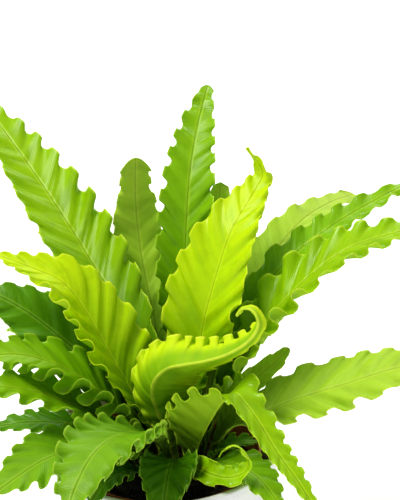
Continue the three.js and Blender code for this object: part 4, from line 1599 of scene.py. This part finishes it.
@dataclass(frozen=True)
class Peat:
    """The soil in the nursery pot: a rough crumbly top on a plain filling, in millimetres.

    pitch, octaves and seed make the top's ripple, relief is its height, and it fades out over the part
    fade of the radius before edge. flat is the share of the radius up to which the dome stays level, and
    bottom_ring that of a ring in the flat bottom. A crumb's size is crumb_size times the square of a
    share within crumb_shares, and its corners stand off by shares within knocks. Crumbs lie up to
    crumb_edge from the wall, with crumb_lift of their size above the top.
    """

    pot: NurseryPot
    top: float = 101.0
    dome: float = 1.1
    flat: float = 0.55
    gap: float = 0.3
    relief: float = 1.1
    edge: float = 1.02
    fade: float = 0.12
    bottom_ring: float = 0.6
    pitch: float = 16.0
    octaves: int = 5
    seed: int = 5
    rings: int = 70
    segments: int = 220
    crumbs: int = 900
    crumb_size: float = 2.6
    crumb_shares: Span = (0.5, 1.0)
    knocks: Span = (0.55, 1.2)
    crumb_lift: float = 0.1
    crumb_edge: float = 3.0
    crumb_seed: int = 11

    def height(self, x: Array, y: Array) -> Array:
        """Height of the soil's top.

        It is the level plus a dome, which falls from the flat share of the radius to the wall over a
        smooth step, plus relief times the ripple, which fades to nothing at the wall.

        Args:
            x: Places beside the pot's axis.
            y: Places beside the pot's axis, square to the first.

        Returns:
            The height at each.
        """
        share = np.hypot(x, y) / (self.pot.inside(self.top) - self.gap)
        dome = self.dome * (1 - smooth((share - self.flat) / (1 - self.flat)))
        rough = ripple(np.stack([x, y, 0 * x], -1), self.pitch, self.seed, self.octaves)
        return self.top + dome + self.relief * rough * smooth((self.edge - share) / self.fade)

    def build(self) -> list[Piece]:
        """Builds the soil.

        Returns:
            The filling with its rough top, and the loose crumbs on it.
        """
        material = PeatFinish().material()
        floor = self.pot.base + self.pot.floor + self.gap
        low, high = self.pot.inside(floor) - self.gap, self.pot.inside(self.top) - self.gap
        middle = ((low + high) / 2, (floor + self.top) / 2)
        skirt = [(TOP_RING, floor), (low * self.bottom_ring, floor), (low, floor), middle]
        points = filling(skirt, high, self.rings, self.segments, self.height)
        body = closed_at_axis("soil_filling", points + np.array([self.pot.offset, 0, 0]))
        crumbs = mesh_piece("soil_crumbs", *self.scatter())
        return [fit_out(body, material, "peat", "soil"), fit_out(crumbs, material, "peat")]

    def scatter(self) -> tuple[Array, list[list[int]]]:
        """Loose crumbs: octahedra with knocked corners, sunk by nearly half into the top.

        Each crumb is six points at seeded distances from its middle along the axes of a seeded turn, with
        eight faces between them.

        Returns:
            The points and the faces.
        """
        rng = np.random.default_rng(self.crumb_seed)
        edge = self.pot.inside(self.top) - self.crumb_edge
        radius = edge * np.sqrt(rng.uniform(0.0, 1.0, self.crumbs))
        angle = rng.uniform(0, 2 * np.pi, self.crumbs)
        x, y = radius * np.cos(angle), radius * np.sin(angle)
        size = rng.uniform(*self.crumb_shares, self.crumbs) ** 2 * self.crumb_size
        middle = np.stack([x + self.pot.offset, y, self.height(x, y) + self.crumb_lift * size], -1)
        spikes = np.array([(1, 0, 0), (-1, 0, 0), (0, 1, 0), (0, -1, 0), (0, 0, 1), (0, 0, -1)], float)
        turn, _ = np.linalg.qr(rng.normal(size=(self.crumbs, 3, 3)))
        length = rng.uniform(*self.knocks, (self.crumbs, 6, 1)) * size[:, None, None]
        points = middle[:, None] + (spikes[None] * length) @ turn
        cell = np.array([
            (0, 2, 4), (2, 1, 4), (1, 3, 4), (3, 0, 4), (2, 0, 5), (1, 2, 5), (3, 1, 5), (0, 3, 5),
        ])
        mirrored = np.linalg.det(turn) < 0
        faces = cell[None] + 6 * np.arange(self.crumbs)[:, None, None]
        faces[mirrored] = faces[mirrored][:, :, ::-1]
        return points, faces.reshape(-1, 3).tolist()


@dataclass(frozen=True)
class Crown:
    """The short rhizome with its felt and its papery scales, in millimetres.

    shoulder is the height of the top's edge and rise that of its dome. pitch, octaves and seed make the
    felt's ripple, relief is its height, and it fades out over the part fade of the radius before edge. A
    scale is scale_length times a share within scale_shares, sunk by scale_depth, and stands off its stem
    by a distance within standoff. Its slope, up over out, is within lean.
    """

    radius: float = 27.0
    bottom: float = 90.0
    shoulder: float = 102.4
    rise: float = 4.8
    dome_power: float = 2.4
    relief: float = 0.8
    edge: float = 1.05
    fade: float = 0.3
    pitch: float = 7.0
    octaves: int = 3
    seed: int = 23
    rings: int = 40
    segments: int = 120
    scales_per_frond: int = 7
    scale_length: float = 9.0
    scale_shares: Span = (0.6, 1.2)
    scale_depth: float = 1.0
    scale_thickness: float = 0.24
    standoff: Span = (2.2, 4.4)
    lean: Span = (0.8, 2.6)
    scale_seed: int = 31

    def height(self, x: Array, y: Array) -> Array:
        """Height of the top.

        It is the shoulder plus the rise times 1 less the share of the radius to the dome's power, plus
        relief times the ripple, which fades to nothing at the edge.

        Args:
            x: Places beside the crown's axis.
            y: Places beside the crown's axis, square to the first.

        Returns:
            The height at each.
        """
        share = np.hypot(x, y) / self.radius
        dome = self.shoulder + self.rise * (1 - share**self.dome_power)
        felt = ripple(np.stack([x, y, 0 * x], -1), self.pitch, self.seed, self.octaves)
        return dome + self.relief * felt * smooth((self.edge - share) / self.fade)

    def build(self) -> list[Piece]:
        """Builds the rhizome.

        Returns:
            Its body, and the scales that stand round the stems.
        """
        material = ScaleFinish().material()
        skirt = [(TOP_RING, self.bottom), (self.radius, self.bottom)]
        points = filling(skirt, self.radius, self.rings, self.segments, self.height)
        body = closed_at_axis("crown_body", points + np.array([*CROWN_CENTRE[:2], 0]))
        scales = mesh_piece("crown_scales", *self.scales())
        return [fit_out(body, material, "rhizome", "crown"), fit_out(scales, material, "rhizome")]

    def scales(self) -> tuple[Array, list[tuple[int, ...]]]:
        """Papery scales round each stem's foot.

        Each is a thin pointed leaf of five points on two sides: its two foot corners, its two shoulders
        and its tip, leaning out from the stem by a seeded angle.

        Returns:
            The points and the faces.
        """
        rng = np.random.default_rng(self.scale_seed)
        count = len(FRONDS) * self.scales_per_frond
        headings = np.repeat(np.radians([f.heading for f in FRONDS]), self.scales_per_frond)
        reach = np.repeat([f.spine[0][0] for f in FRONDS], self.scales_per_frond)
        stem = np.stack([reach * np.cos(headings), reach * np.sin(headings)], -1)
        turn = rng.uniform(0, 2 * np.pi, count)
        foot = stem + rng.uniform(*self.standoff, (count, 1)) * np.stack([np.cos(turn), np.sin(turn)], -1)
        away = unit(ring(1.0, turn, rng.uniform(*self.lean, count)))
        sideways = np.stack([-np.sin(turn), np.cos(turn), 0 * turn], -1)
        normal = np.cross(away, sideways)
        length = self.scale_length * rng.uniform(*self.scale_shares, count)
        x, y = foot.T
        level = self.height(x, y) - self.scale_depth
        start = np.stack([x + CROWN_CENTRE[0], y + CROWN_CENTRE[1], level], -1)
        # Shares of the length, and millimetres to the side, of the five points.
        outline = np.array([(0.0, -0.35), (0.0, 0.35), (0.45, 0.75), (0.45, -0.75), (1.0, 0.0)])
        out = away[:, None] * (outline[:, :1] * length[:, None, None])
        flat = start[:, None] + out + sideways[:, None] * outline[:, 1:]
        thick = normal[:, None] * self.scale_thickness / 2
        points = np.concatenate([flat + thick, flat - thick], 1)
        cell = [(0, 1, 2, 3), (3, 2, 4), (8, 7, 6, 5), (9, 7, 8), (0, 5, 6, 1), (1, 6, 7, 2), (2, 7, 9, 4),
                (4, 9, 8, 3), (3, 8, 5, 0)]
        return points, [tuple(k + 10 * i for k in face) for i in range(count) for face in cell]


# Studio


@dataclass(frozen=True)
class SoftLight:
    """A far, broad light that shines from a place to the origin; spread is its width in degrees."""

    name: str
    place: tuple[float, float, float]
    spread: float
    strength: float
    colour: Colour = (1.0, 1.0, 1.0)

    def build(self) -> None:
        """Hangs the light in its place and turns it to the origin."""
        light = bpy.data.lights.new(self.name, "SUN")
        light.angle = math.radians(self.spread)
        light.energy = self.strength
        light.color = self.colour
        lamp = bpy.data.objects.new(self.name, light)
        lamp.location = self.place
        lamp.rotation_euler = Vector(self.place).to_track_quat("Z", "Y").to_euler()
        bpy.context.scene.collection.objects.link(lamp)


@dataclass(frozen=True)
class Studio:
    """The plain pale floor, soft lights and the camera, in metres."""

    camera_place: tuple[float, float, float] = (0.023875, -0.853745, 0.649340)
    camera_tilt: float = 65.0
    lens: float = 115.2
    sight: float = 100.0
    room_light: float = 0.3
    floor_radius: float = 6.0
    floor_sides: int = 64
    floor_colour: Colour = (0.93, 0.93, 0.93)
    floor_roughness: float = 0.9
    floor_glow: float = 0.25
    lights: tuple[SoftLight, ...] = (
        SoftLight("key_light", (-0.9, -0.35, 1.9), 24.0, 2.2, (1.0, 0.99, 0.96)),
        SoftLight("back_light", (0.5, 1.4, 1.2), 40.0, 1.0),
    )

    def build(self) -> None:
        """Makes the floor, the lights, the room's own light and the camera."""
        self.lay_floor()
        for light in self.lights:
            light.build()
        world = bpy.data.worlds.new("studio")
        world.use_nodes = True
        room = world.node_tree.nodes["Background"]
        room.inputs["Color"].default_value = (1.0, 1.0, 1.0, 1.0)
        room.inputs["Strength"].default_value = self.room_light
        scene = bpy.context.scene
        scene.world = world
        scene.view_settings.view_transform = "Standard"
        scene.view_settings.look = "Medium High Contrast"
        lens = bpy.data.cameras.new("camera")
        lens.lens = self.lens
        lens.clip_end = self.sight
        camera = bpy.data.objects.new("camera", lens)
        camera.location = self.camera_place
        camera.rotation_euler = (math.radians(self.camera_tilt), 0.0, 0.0)
        scene.collection.objects.link(camera)
        scene.camera = camera

    def lay_floor(self) -> None:
        """Lays a wide round floor with a plain pale finish that is a little bright of itself."""
        edge = ring(self.floor_radius, round_angles(self.floor_sides), 0.0)
        mesh = bpy.data.meshes.new("floor")
        mesh.from_pydata(edge.tolist(), [], [tuple(range(self.floor_sides))])
        floor = bpy.data.objects.new("floor", mesh)
        bpy.context.scene.collection.objects.link(floor)
        n = Nodes("pale_floor")
        floor.data.materials.append(n.finish(
            Base_Color=self.floor_colour, Roughness=self.floor_roughness,
            Emission_Color=(1.0, 1.0, 1.0), Emission_Strength=self.floor_glow,
        ))
        floor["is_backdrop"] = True


def corners() -> list[list[float]]:
    """The shown object's box as plain numbers."""
    return [[float(x) for x in corner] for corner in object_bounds()]


def main() -> None:
    """Builds the studio, the pots, the soil, the crown and the fronds."""
    logging.basicConfig(level=logging.INFO, format="%(message)s")
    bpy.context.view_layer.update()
    Studio().build()
    pot = NurseryPot()
    pieces = [Planter().build(), pot.build(), *Peat(pot).build(), *Crown().build()]
    pieces += Rosette(FRONDS).build()
    for piece in pieces:
        LOG.info("%s: %d points, %d faces", piece.name, len(piece.data.vertices), len(piece.data.polygons))


if __name__ == "__main__":
    main()
